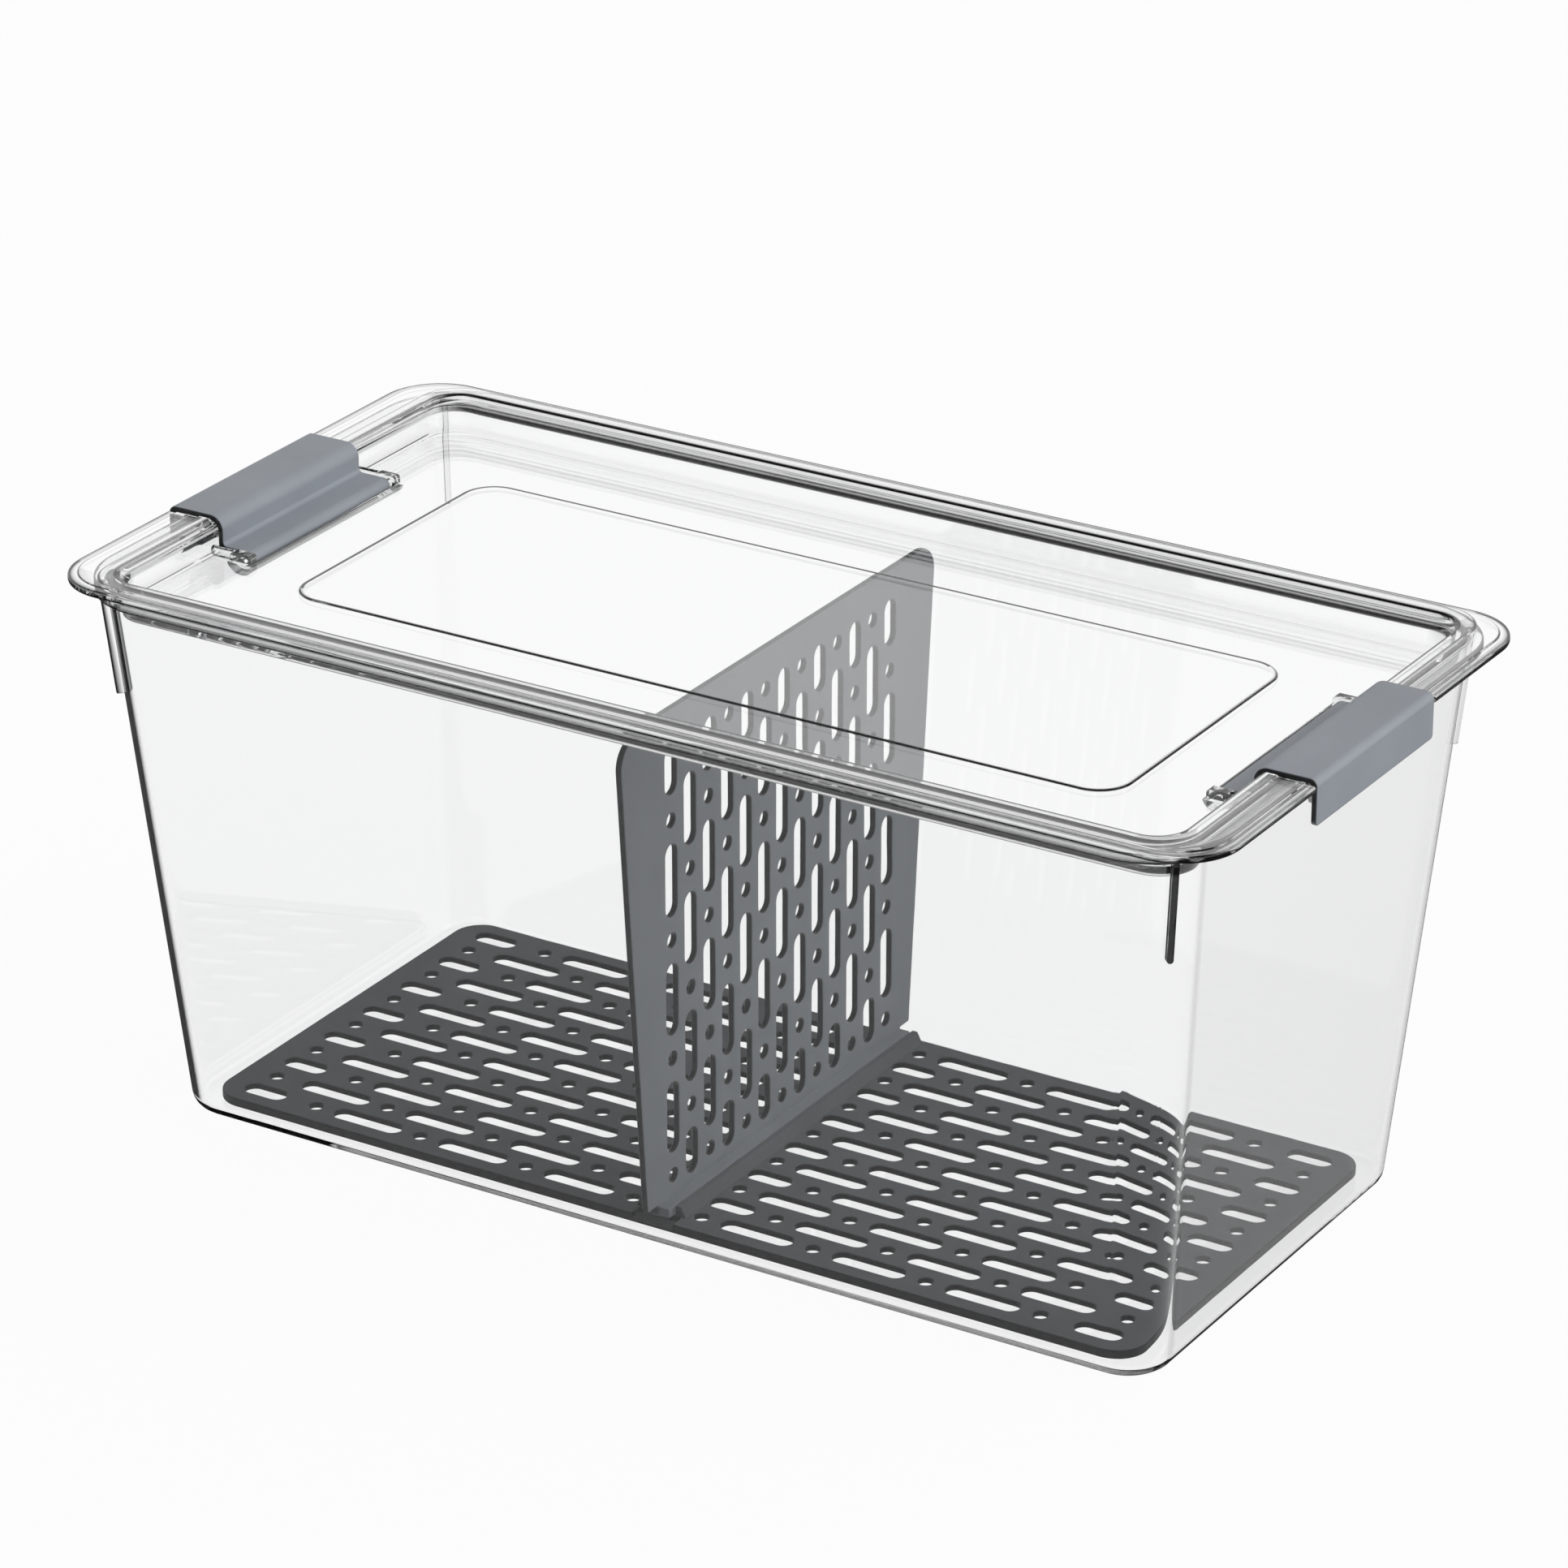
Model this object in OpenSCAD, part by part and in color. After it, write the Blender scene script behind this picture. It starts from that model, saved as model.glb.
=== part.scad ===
// Clear food storage box with a clip-on lid, a drain tray and a drop-in divider.
// Millimetres. The box stands on Z = 0, centred on the origin, with its length along X.

/* [Overall] */
// Length of the lid over both end flanges
lid_l = 325; // [312:1:340]
// Width of the lid over both side flanges
lid_w = 166; // [156:1:176]
// Height from the table to the top of the closed clips
total_h = 149; // [132:1:170]

/* [Bin] */
// Lean of the walls away from upright, degrees
draft = 4.7; // [3.6:0.1:5.2]
// Wall thickness
wall = 2.2; // [1.8:0.1:2.6]
// Floor thickness
floor_t = 2.5; // [2:0.1:3]
// Radius of the upright outer corners
bin_r = 12; // [10:0.5:15]
// Radius of the outer bottom edge
bottom_r = 4.5; // [3:0.5:6]
// Radius between floor and wall inside
floor_r = 1.6; // [1:0.2:2.4]
// Lid overhang past the bin wall at each end
end_over = 9.5; // [9:0.1:10]
// Lid overhang past the bin wall at each side
side_over = 5.5; // [5:0.1:6.2]
// Thickness of the flange round the mouth
bin_flange_t = 2.3; // [2:0.1:2.6]
// Corner radius of the flange round the mouth
bin_flange_r = 22; // [18:0.5:26]
// Setback of that flange from the lid at each end
flange_end_in = 4.5; // [4.4:0.1:4.8]
// Setback of that flange from the lid at each side
flange_side_in = 0.6; // [0.3:0.1:1.2]
// Height of the stacking rib on each corner
rib_h = 27; // [20:1:34]
// Thickness of the stacking ribs
rib_t = 1.6; // [1.2:0.1:2.2]
// Reach of the stacking ribs out of the wall
rib_out = 2; // [1.4:0.1:2.6]
// Thickness of the downturned catch under each end flange
catch_t = 1.8; // [1.4:0.1:2.2]
// Reach of the bead along the bottom of each catch
catch_bead = 0.6; // [0.3:0.1:0.8]

/* [Lid] */
// Thickness of the lid flange at its ridge
lid_t = 2.6; // [2.3:0.1:3]
// Radius of the lid at its corners
lid_r = 16; // [14:0.5:20]
// Width of the lower band along the lid's edge
band_w = 2.8; // [2:0.1:3.2]
// Drop from the ridge to that band
band_drop = 0.7; // [0.5:0.1:0.9]
// Drop from the ridge to the flat at each end
end_drop = 0.4; // [0.2:0.1:0.5]
// Width of the ridge at the ends of the well
ridge_w = 3.6; // [3:0.1:4.2]
// Depth of the sunken panel below the ridge
well_depth = 8.9; // [8.3:0.1:9.6]
// Thickness of the sunken panel
panel_t = 2; // [1.8:0.1:2.3]
// Thickness of the well walls
well_t = 1.8; // [1.5:0.1:2]
// Flare of the well mouth at its sides
flare_side = 3.2; // [2.6:0.1:3.4]
// Flare of the well mouth at its ends
flare_end = 1.2; // [0.8:0.1:1.4]
// Depth of the flare
flare_h = 3.2; // [2.6:0.1:3.6]
// Step of the raised middle of the panel
raised_h = 0.4; // [0.3:0.1:0.9]
// Margin from the well end to the raised middle
raised_end_in = 30.8; // [28:0.2:36]
// Margin from the well side to the raised middle
raised_side_in = 28.3; // [22:0.1:34]

/* [Clips] */
// Length of each clip along its hinge
clip_len = 60; // [50:1:70]
// Sheet thickness of each clip
clip_t = 1.4; // [1.2:0.1:1.6]
// Height of the outer leg
leg_h = 12.1; // [11.6:0.1:12.8]
// Rise of the closed clip above the lid's ridge
clip_rise = 0.6; // [0.3:0.1:1]
// Reach of the lip inside the leg
lip_reach = 1.7; // [1.4:0.1:1.7]
// Height of the lip
lip_h = 1.2; // [0.9:0.1:1.3]
// Setback of the lip from each end of the leg
lip_in = 6; // [4:0.5:9]
// Radius of the bend above the well
bend_r = 4; // [3:0.25:4.5]
// Radius of the bend above the leg
edge_r = 2; // [1.7:0.1:2.5]
// Radius of the hinge pins
pin_r = 1.5; // [1.3:0.05:1.7]
// Radius of the hinge barrel
barrel_r = 2.2; // [2:0.1:2.4]
// Distance from the lid end to the hinge axis
hinge_in = 23.9; // [23.5:0.1:24.5]
// Depth of the hinge axis below the sunken panel's top
hinge_drop = 0.4; // [0:0.1:0.6]
// Thickness of the ears that carry the pins
ear_t = 2.6; // [2.2:0.1:3]
// Wall of the hinge trough
trough_t = 1.3; // [1:0.1:1.6]

/* [Drain tray] */
// Plate thickness
tray_t = 1.7; // [1.4:0.1:2.1]
// Height of the tray top above the bin floor
tray_h = 2.5; // [2.3:0.1:3.5]
// Corner radius of the tray
tray_r = 8; // [6:0.5:9]
// Thickness of the rim under the tray edge
rim_t = 1.6; // [1.2:0.1:2]
// Height of the two ribs that hold the divider
keeper_h = 2.8; // [2.2:0.1:3.4]
// Width of those ribs at the top
keeper_w = 1.6; // [1.2:0.1:2]
// Spread of the sloped outer side of those ribs
keeper_slope = 1.4; // [0.8:0.1:1.8]
// Width of the notch in the plate's front edge
notch_w = 12; // [10:0.5:14]
// Depth of the notch in the plate's front edge
notch_d = 4.2; // [3:0.1:4.4]

/* [Drain holes] */
// Width of the slots
slot_w = 5.4; // [4.6:0.1:5.8]
// Diameter of the round holes
dot_d = 4; // [3.4:0.1:4.6]
// Length of the tray slots
tray_slot = 20.4; // [17:0.2:22]
// Length of the short slots
short_slot = 12.4; // [10:0.2:13]
// Length of the divider slots
div_slot = 19.2; // [16:0.2:19.6]

/* [Divider] */
// Plate thickness
div_t = 1.8; // [1.5:0.1:2]
// Width of the foot between the keeper ribs
foot_w = 8; // [7:0.2:9]
// Setback of the foot from the plate edge
foot_in = 4.7; // [4:0.1:6]
// Radius of the top corners
div_r = 7; // [4:0.5:10]

/* [Clearances] */
// Gap between lid flange and bin flange
seat_gap = 0.2; // [0.1:0.05:0.4]
// Gap between the lid well and the bin wall
plug_gap = 0.5; // [0.4:0.05:0.8]
// Gap between clip plate and its saddle in the lid
clip_gap = 0.2; // [0.1:0.05:0.4]
// Gap between clip riser and well wall
riser_gap = 0.4; // [0.3:0.05:0.6]
// Gap between clip ends and their notch or ears
clip_end_gap = 0.4; // [0.3:0.05:0.8]
// Gap between the leg lip's swing and the lid
swing_gap = 2.1; // [2:0.1:2.6]
// Gap between the clip's inner bend and the chamfer of its saddle
bend_gap = 0.6; // [0.5:0.1:0.9]
// Gap between catch and lip, upright
catch_gap = 0.8; // [0.5:0.1:1]
// Gap round the hinge barrel
barrel_gap = 0.95; // [0.7:0.05:1.1]
// Running gap round the hinge pins
pin_gap = 0.05; // [0.03:0.01:0.08]
// Gap between each tray end and the round at the foot of the bin wall
tray_end_gap = 3.9; // [3:0.1:4.8]
// Gap between each tray side and the round at the foot of the bin wall
tray_side_gap = 2.1; // [1.2:0.1:2.6]
// Gap between divider edge and bin wall
div_gap = 1.2; // [0.8:0.1:1.6]
// Gap between divider foot and each keeper rib
foot_gap = 0.25; // [0.15:0.05:0.4]
// Gap under the divider foot
foot_lift = 0.1; // [0.05:0.05:0.3]
// Gap between divider top and the sunken panel
panel_gap = 0.7; // [0.5:0.1:1.5]

/* [Hidden] */
$fn = 48;
eps = 0.01;
over = 1;
past = 20;
slope = tan(draft);
clear_tint = [0.86, 0.90, 0.92, 0.35];
clip_grey = [0.54, 0.56, 0.58];
tray_grey = [0.29, 0.30, 0.31];
div_grey = [0.42, 0.43, 0.45];

// Heights, from the top of the clips down
ridge_z = total_h - clip_rise;
saddle_z = total_h - clip_t - clip_gap;
lid_under_z = ridge_z - lid_t;
mouth_z = lid_under_z - seat_gap;
flange_under_z = mouth_z - bin_flange_t;
panel_z = ridge_z - well_depth;
panel_under_z = panel_z - panel_t;
leg_z = total_h - leg_h;
catch_z = leg_z + lip_h + catch_gap;

// Half sizes of the bin, outside at the mouth, outside at the table and of its flange
mouth_l = lid_l / 2 - end_over;
mouth_w = lid_w / 2 - side_over;
base_l = mouth_l - slope * mouth_z;
base_w = mouth_w - slope * mouth_z;
flange_l = lid_l / 2 - flange_end_in;
flange_w = lid_w / 2 - flange_side_in;
function inner_l(z) = base_l + slope * z - wall;
function inner_w(z) = base_w + slope * z - wall;

// Half sizes of the lid well, which drops into the bin mouth
plug_l = inner_l(panel_under_z) - plug_gap;
plug_w = inner_w(panel_under_z) - plug_gap;
plug_r = bin_r - wall - plug_gap;
well_l = plug_l - well_t;
well_w = plug_w - well_t;
well_r = plug_r - well_t;
lip_l = well_l + flare_end;
lip_w = well_w + flare_side;

// Hinge and clip, on the right-hand end
axis_x = lid_l / 2 - hinge_in;
axis_z = panel_z - hinge_drop;
trough_r = barrel_r + barrel_gap;
riser_x = well_l - riser_gap;
foot_z = axis_z + barrel_r - clip_t;
bend_x = riser_x - clip_t + bend_r;
bend_z = total_h - bend_r;
leg_x = lid_l / 2;
lip_x = leg_x - clip_t - lip_reach;
gate_x = lip_x - swing_gap;
gate_len = clip_len + 4 * clip_end_gap;
bend_len = clip_len + 3 * clip_end_gap;
ear_in = clip_len / 2 + clip_end_gap;
ear_h = 2.2;
brace_h = 1.4;
catch_in = lip_in + 2;
catch_len = clip_len - 2 * catch_in;

// Tray and its hole pattern, mirrored about the middle
tray_l = inner_l(floor_t) - floor_r - tray_end_gap;
tray_w = inner_w(floor_t) - floor_r - tray_side_gap;
tray_z = floor_t + tray_h;
keeper_x = foot_w / 2 + foot_gap;
keeper_z = tray_z + keeper_h;
keeper_back = 1;
first_hole = 10;
end_margin = 28;
edge_row = 7.2;
short_in = 3.4;
short_end = 12.4;
dot_end = 9.6;
pitches = 3;
rows = 6;
tray_pitch = (tray_l - first_hole - end_margin) / pitches;
tray_row = (tray_w - edge_row) / rows;

// Divider and its hole pattern
div_top = panel_under_z - panel_gap;
plate_lift = 0.2;
div_low = keeper_z + plate_lift;
div_half_low = inner_w(div_low) - div_gap;
div_half_top = inner_w(div_top) - div_gap;
foot_half = div_half_low - foot_in;
low_margin = 5.6;
low_hole = keeper_z + low_margin;
top_margin = 27.7;
edge_col = 11.8;
short_up = 3.2;
short_down = 14.7;
dot_down = 11;
div_pitch = (div_top - top_margin - low_hole) / pitches;
div_col = (div_half_low - edge_col) / rows;

// Flat rounded rectangle given by half sizes
module rounded(l, w, r) {
    square([2 * (l - r), 2 * w], center = true);
    square([2 * l, 2 * (w - r)], center = true);
    for (x = [-1, 1])
        for (y = [-1, 1])
            translate([x * (l - r), y * (w - r)])
                circle(r);
}

// Upright block with rounded corners
module block(l, w, r, z, h) {
    translate([0, 0, z])
        linear_extrude(h)
            rounded(l, w, r);
}

// Straight slot along X with round ends
module slot(len, w) {
    square([len - w, w], center = true);
    for (s = [-1, 1])
        translate([s * (len - w) / 2, 0])
            circle(w / 2);
}

// Leaning tub with a rounded bottom edge, given by its half sizes at Z = 0
module tub(l, w, r, edge, z0, z1) {
    hull() {
        for (a = [0:30:90]) {
            inset = edge * (1 - sin(a));
            z = z0 + edge * (1 - cos(a));
            block(l + slope * z - inset, w + slope * z - inset, r - min(inset, r / 2), z, eps);
        }
        block(l + slope * z1, w + slope * z1, r, z1 - eps, eps);
    }
}

// Stacking ribs on the four corners, leaning with the wall
module corner_ribs() {
    low_z = flange_under_z - rib_h;
    root = wall / 2;
    for (x = [-1, 1])
        for (y = [-1, 1])
            translate([x * (base_l + slope * low_z - bin_r), y * (base_w + slope * low_z - bin_r), low_z])
                rotate([0, 0, atan2(y, x)])
                    rotate([0, atan(slope * sqrt(2)), 0])
                        translate([bin_r - root, 0, 0]) {
                            translate([0, -rib_t / 2, 0])
                                cube([root + rib_out, rib_t, rib_h + bin_flange_t / 2]);
                            rotate([0, 90, 0])
                                cylinder(r = rib_t / 2, h = root + rib_out);
                        }
}

// Downturned catch with a bead under each end flange
module catches() {
    bead_h = 1.4;
    for (s = [-1, 1]) {
        translate([s * (flange_l - catch_t / 2), 0, (catch_z + mouth_z) / 2])
            cube([catch_t, catch_len, mouth_z - catch_z], center = true);
        translate([s * (flange_l + catch_bead / 2 - catch_t / 2), 0, catch_z + bead_h / 2])
            cube([catch_t + catch_bead, catch_len, bead_h], center = true);
    }
}

module bin() {
    color(clear_tint)
        difference() {
            union() {
                tub(base_l, base_w, bin_r, bottom_r, 0, mouth_z);
                block(flange_l, flange_w, bin_flange_r, flange_under_z, bin_flange_t);
                corner_ribs();
                catches();
            }
            tub(base_l - wall, base_w - wall, bin_r - wall, floor_r, floor_t, mouth_z + over);
        }
}

// Flange of the lid: lower band along the edge, flat ends, ridge round the well
module lid_flange() {
    half_l = lid_l / 2;
    half_w = lid_w / 2;
    block(half_l, half_w, lid_r, lid_under_z, lid_t - band_drop);
    block(half_l - band_w, half_w - band_w, lid_r - band_w, lid_under_z, lid_t - end_drop);
    block(lip_l + ridge_w, half_w - band_w, well_r + ridge_w, lid_under_z, lid_t);
}

// Space of the well, with its flared mouth
module lid_well() {
    mouth_round = 0.8 * (ridge_z - saddle_z);
    lip_r = well_r + mouth_round;
    block(well_l, well_w, well_r, panel_z, past);
    hull() {
        block(well_l, well_w, well_r, ridge_z - flare_h, eps);
        block(lip_l - flare_end / 4, lip_w - flare_side / 4, lip_r, ridge_z - mouth_round, eps);
        block(lip_l, lip_w, lip_r, ridge_z, over);
    }
}

// Room for one closed clip: gate for its leg, saddle for its plate, chamfer under its bend
module clip_room(side) {
    translate([side * (gate_x + past / 2), 0, ridge_z])
        cube([past, gate_len, past], center = true);
    translate([side * (well_l + past / 2), 0, saddle_z + past / 2])
        cube([past, gate_len, past], center = true);
    translate([side * bend_x, 0, bend_z])
        rotate([0, -side * 45, 0])
            translate([0, 0, 2 * bend_r - clip_t - bend_gap])
                cube([2 * bend_r, bend_len, 2 * bend_r], center = true);
}

// Hinge trough with its ears and brace ribs at one end
module trough(side) {
    brace_l = well_l + well_t / 2 - axis_x;
    brace_in = 0.3;
    brace_r = ear_t / 2 - brace_in;
    difference() {
        translate([side * axis_x, 0, axis_z])
            rotate([90, 0, 0])
                cylinder(r = trough_r + trough_t, h = 2 * (ear_in + ear_t), center = true);
        translate([side * axis_x, 0, panel_z + past / 2])
            cube([past, 2 * clip_len, past], center = true);
    }
    for (y = [-1, 1])
        translate([side * axis_x, y * (ear_in + ear_t / 2), panel_z]) {
            translate([0, 0, (ear_h - over) / 2])
                cube([2 * trough_r, ear_t, ear_h + over], center = true);
            translate([side * brace_l / 2, 0, (brace_h - over) / 2])
                cube([brace_l, 2 * brace_r, brace_h + over], center = true);
            translate([side * brace_l / 2, 0, brace_h])
                rotate([0, 90, 0])
                    cylinder(r = brace_r, h = brace_l, center = true);
        }
}

module lid() {
    raised_r = 9;
    color(clear_tint)
        difference() {
            union() {
                difference() {
                    union() {
                        lid_flange();
                        block(plug_l, plug_w, plug_r, panel_under_z, lid_under_z + over - panel_under_z);
                    }
                    lid_well();
                    clip_room(-1);
                    clip_room(1);
                }
                block(well_l - raised_end_in, well_w - raised_side_in, raised_r, panel_z - over, raised_h + over);
                trough(-1);
                trough(1);
            }
            for (s = [-1, 1])
                translate([s * axis_x, 0, axis_z])
                    rotate([90, 0, 0]) {
                        cylinder(r = trough_r, h = 2 * ear_in, center = true);
                        cylinder(r = pin_r + pin_gap, h = 2 * (ear_in + ear_t) + over, center = true);
                    }
        }
}

// Convex corner trimmer: the square corner at (0, 0) outside a quarter round that turns in by r
module corner_trim(r, x, y) {
    difference() {
        translate([x * (r - over) / 2, y * (r - over) / 2])
            square(r + over, center = true);
        translate([x * r, y * r])
            circle(r);
    }
}

// Side profile of the right clip in X and Z: barrel, foot, riser and top plate
module clip_profile() {
    heel_r = 0.8;
    inner_r = 1.2;
    translate([axis_x, axis_z])
        circle(barrel_r);
    translate([axis_x, foot_z])
        square([riser_x - axis_x - clip_t / 2, clip_t]);
    difference() {
        union() {
            translate([riser_x - clip_t, foot_z])
                square([clip_t, total_h - foot_z]);
            translate([riser_x - clip_t, total_h - clip_t])
                square([leg_x - edge_r - riser_x + clip_t, clip_t]);
            translate([riser_x - eps, total_h - bend_r])
                square(bend_r - clip_t + 2 * eps);
        }
        translate([riser_x - clip_t, total_h])
            corner_trim(bend_r, 1, -1);
        translate([riser_x - clip_t + bend_r, total_h - bend_r])
            circle(bend_r - clip_t);
        translate([riser_x, foot_z])
            corner_trim(heel_r, -1, 1);
    }
    translate([riser_x - clip_t, foot_z + clip_t])
        difference() {
            translate([-inner_r, -eps])
                square(inner_r + eps);
            translate([-inner_r, inner_r])
                circle(inner_r);
        }
}

// Outer leg profile with a rounded top edge and a rounded bottom edge
module leg_profile() {
    toe_r = 1;
    difference() {
        union() {
            translate([leg_x - clip_t, leg_z])
                square([clip_t, leg_h]);
            translate([leg_x - edge_r - clip_t, total_h - clip_t])
                square([edge_r + clip_t, clip_t]);
        }
        translate([leg_x, total_h])
            corner_trim(edge_r, -1, -1);
        translate([leg_x, leg_z])
            corner_trim(toe_r, -1, 1);
    }
}

// Right clip; the left one is its mirror image
module clip_body() {
    half = clip_len / 2;
    corner = 2;
    pin_short = 0.2;
    pin_len = ear_t + clip_end_gap - pin_short;
    rotate([90, 0, 0])
        linear_extrude(clip_len, center = true)
            clip_profile();
    intersection() {
        rotate([90, 0, 0])
            linear_extrude(clip_len, center = true)
                leg_profile();
        translate([leg_x - past / 2, 0, leg_z + past / 2])
            rotate([90, 0, 90])
                linear_extrude(past)
                    difference() {
                        square([clip_len, past], center = true);
                        for (y = [-1, 1])
                            translate([y * half, -past / 2])
                                corner_trim(corner, -y, 1);
                    }
    }
    translate([(lip_x + leg_x - clip_t / 2) / 2, 0, leg_z + lip_h / 2])
        cube([leg_x - clip_t / 2 - lip_x, clip_len - 2 * lip_in, lip_h], center = true);
    for (y = [-1, 1])
        translate([axis_x, y * (half + pin_len / 2 - eps), axis_z])
            rotate([90, 0, 0])
                cylinder(r = pin_r, h = pin_len + eps, center = true);
}

module right_clip() {
    color(clip_grey)
        clip_body();
}

module left_clip() {
    color(clip_grey)
        mirror([1, 0, 0])
            clip_body();
}

// Drain holes of one tray half: rows of round holes and slots, alternate rows shifted by half a pitch
module tray_holes() {
    for (row = [-rows:rows])
        translate([0, row * tray_row]) {
            odd = row % 2 != 0;
            shift = odd ? tray_pitch / 2 : 0;
            for (k = [0:odd ? pitches - 1 : pitches])
                translate([first_hole + shift + k * tray_pitch, 0])
                    circle(dot_d / 2);
            for (k = [0:pitches - 1])
                translate([first_hole + tray_pitch / 2 + shift + k * tray_pitch, 0])
                    slot(tray_slot, slot_w);
            translate([odd ? first_hole + short_in : tray_l - short_end, 0])
                slot(short_slot, slot_w);
            if (odd)
                translate([tray_l - dot_end, 0])
                    circle(dot_d / 2);
        }
}

module drain_tray() {
    sill_l = notch_w + 2 * rim_t;
    color(tray_grey)
        difference() {
            union() {
                translate([0, 0, tray_z - tray_t])
                    linear_extrude(tray_t)
                        difference() {
                            rounded(tray_l, tray_w, tray_r);
                            tray_holes();
                            mirror([1, 0])
                                tray_holes();
                        }
                difference() {
                    block(tray_l, tray_w, tray_r, floor_t, tray_h - eps);
                    block(tray_l - rim_t, tray_w - rim_t, tray_r - rim_t, floor_t - over, tray_h + 2 * over);
                }
                translate([-sill_l / 2, rim_t / 2 - tray_w, floor_t])
                    cube([sill_l, notch_d + rim_t / 2, tray_h - eps]);
                for (s = [-1, 1])
                    translate([0, tray_w - keeper_back, tray_z])
                        rotate([90, 0, 0])
                            linear_extrude(2 * tray_w - keeper_back - notch_d)
                                polygon([[s * keeper_x, -eps],
                                         [s * (keeper_x + keeper_w + keeper_slope), -eps],
                                         [s * (keeper_x + keeper_w), keeper_h],
                                         [s * keeper_x, keeper_h]]);
            }
            translate([0, -tray_w, tray_z - tray_t + past / 2])
                cube([notch_w, 2 * notch_d, past], center = true);
        }
}

// Upright slots and round holes of the divider, in Y and Z
module divider_holes() {
    for (col = [-rows:rows])
        translate([col * div_col, 0]) {
            odd = col % 2 != 0;
            shift = odd ? div_pitch / 2 : 0;
            for (k = [0:odd ? pitches - 1 : pitches])
                translate([0, low_hole + shift + k * div_pitch])
                    circle(dot_d / 2);
            for (k = [0:pitches - 1])
                translate([0, low_hole + div_pitch / 2 + shift + k * div_pitch])
                    rotate(90)
                        slot(div_slot, slot_w);
            translate([0, odd ? low_hole + short_up : div_top - short_down])
                rotate(90)
                    slot(short_slot, slot_w);
            if (odd)
                translate([0, div_top - dot_down])
                    circle(dot_d / 2);
        }
}

// Outline of the divider plate in Y and Z, leaning sides and rounded top corners
module divider_outline() {
    cy = div_half_top - div_r * (1 + sin(draft)) / cos(draft);
    cz = div_top - div_r;
    side_y = cy + div_r * cos(draft);
    side_z = cz - div_r * sin(draft);
    polygon([[-div_half_low, div_low], [div_half_low, div_low], [side_y, side_z],
             [cy, div_top], [-cy, div_top], [-side_y, side_z]]);
    for (s = [-1, 1])
        translate([s * cy, cz])
            circle(div_r);
}

module divider() {
    foot_low = tray_z + foot_lift;
    color(div_grey) {
        rotate([90, 0, 90])
            linear_extrude(div_t, center = true)
                difference() {
                    divider_outline();
                    divider_holes();
                }
        translate([0, 0, (foot_low + div_low + eps) / 2])
            cube([div_t, 2 * foot_half, div_low + eps - foot_low], center = true);
        translate([0, 0, (foot_low + keeper_z) / 2])
            cube([foot_w, 2 * foot_half, keeper_z - foot_low], center = true);
    }
}

bin();
lid();
left_clip();
right_clip();
drain_tray();
divider();
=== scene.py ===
"""Looks of the food storage box: clear bin and lid, grey clips, drain tray and divider.

Shapes are worked out in millimetres in the frame of the CAD model and made in metres.
"""
import math

import bmesh
import bpy
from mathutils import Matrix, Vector


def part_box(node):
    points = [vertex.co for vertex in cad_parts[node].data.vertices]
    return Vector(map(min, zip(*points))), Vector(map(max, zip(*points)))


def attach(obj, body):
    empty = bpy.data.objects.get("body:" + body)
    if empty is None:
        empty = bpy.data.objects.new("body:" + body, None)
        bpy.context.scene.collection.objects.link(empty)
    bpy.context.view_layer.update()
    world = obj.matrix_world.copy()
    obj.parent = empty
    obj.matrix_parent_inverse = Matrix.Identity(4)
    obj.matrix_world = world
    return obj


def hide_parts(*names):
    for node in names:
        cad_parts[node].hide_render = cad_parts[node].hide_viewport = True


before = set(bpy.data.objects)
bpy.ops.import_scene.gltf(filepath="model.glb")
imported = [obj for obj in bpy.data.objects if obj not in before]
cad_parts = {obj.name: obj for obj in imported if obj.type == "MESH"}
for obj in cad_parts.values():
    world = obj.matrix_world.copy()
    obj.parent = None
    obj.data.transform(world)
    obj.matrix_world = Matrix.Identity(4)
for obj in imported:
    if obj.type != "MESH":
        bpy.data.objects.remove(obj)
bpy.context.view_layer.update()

MM = 0.001


def node_box(node):
    """Lowest and highest corner of a CAD node, in millimetres."""
    low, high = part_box(node)
    return low / MM, high / MM


# Sizes read from the frame
bin_high = node_box("bin")[1]
lid_high = node_box("lid")[1]
clip_low, clip_high = node_box("right_clip")
tray_low, tray_high = node_box("drain_tray")
div_low_corner, div_high_corner = node_box("divider")
half_l = lid_high.x
half_w = lid_high.y
total_h = clip_high.z
ridge_z = lid_high.z
mouth_z = bin_high.z
flange_w = bin_high.y
leg_z = clip_low.z
floor_t = tray_low.z
keeper_z = tray_high.z
div_top = div_high_corner.z
foot_low = div_low_corner.z
foot_half_w = div_high_corner.x

# Bin
draft = math.radians(4.7)
slope = math.tan(draft)
wall = 2.2
bin_r = 12
bottom_r = 4.5
floor_r = 1.6
mouth_round = 0.7
flange_round = 0.5
end_over = 9.5
side_over = 5.5
bin_flange_t = 2.3
bin_flange_r = 22
catch_bead = 0.6
catch_t = 1.8
catch_half = 22
rib_h = 27
rib_t = 1.6
rib_out = 2
rib_end_round = 0.3
flange_root_r = 1.2
catch_round = 0.4
catch_end_round = 0.2
bead_h = 1.4
bead_round = 0.5
bead_top_round = 0.3
flange_l = bin_high.x - catch_bead
flange_under_z = mouth_z - bin_flange_t
base_l = half_l - end_over - slope * mouth_z
base_w = half_w - side_over - slope * mouth_z

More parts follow.
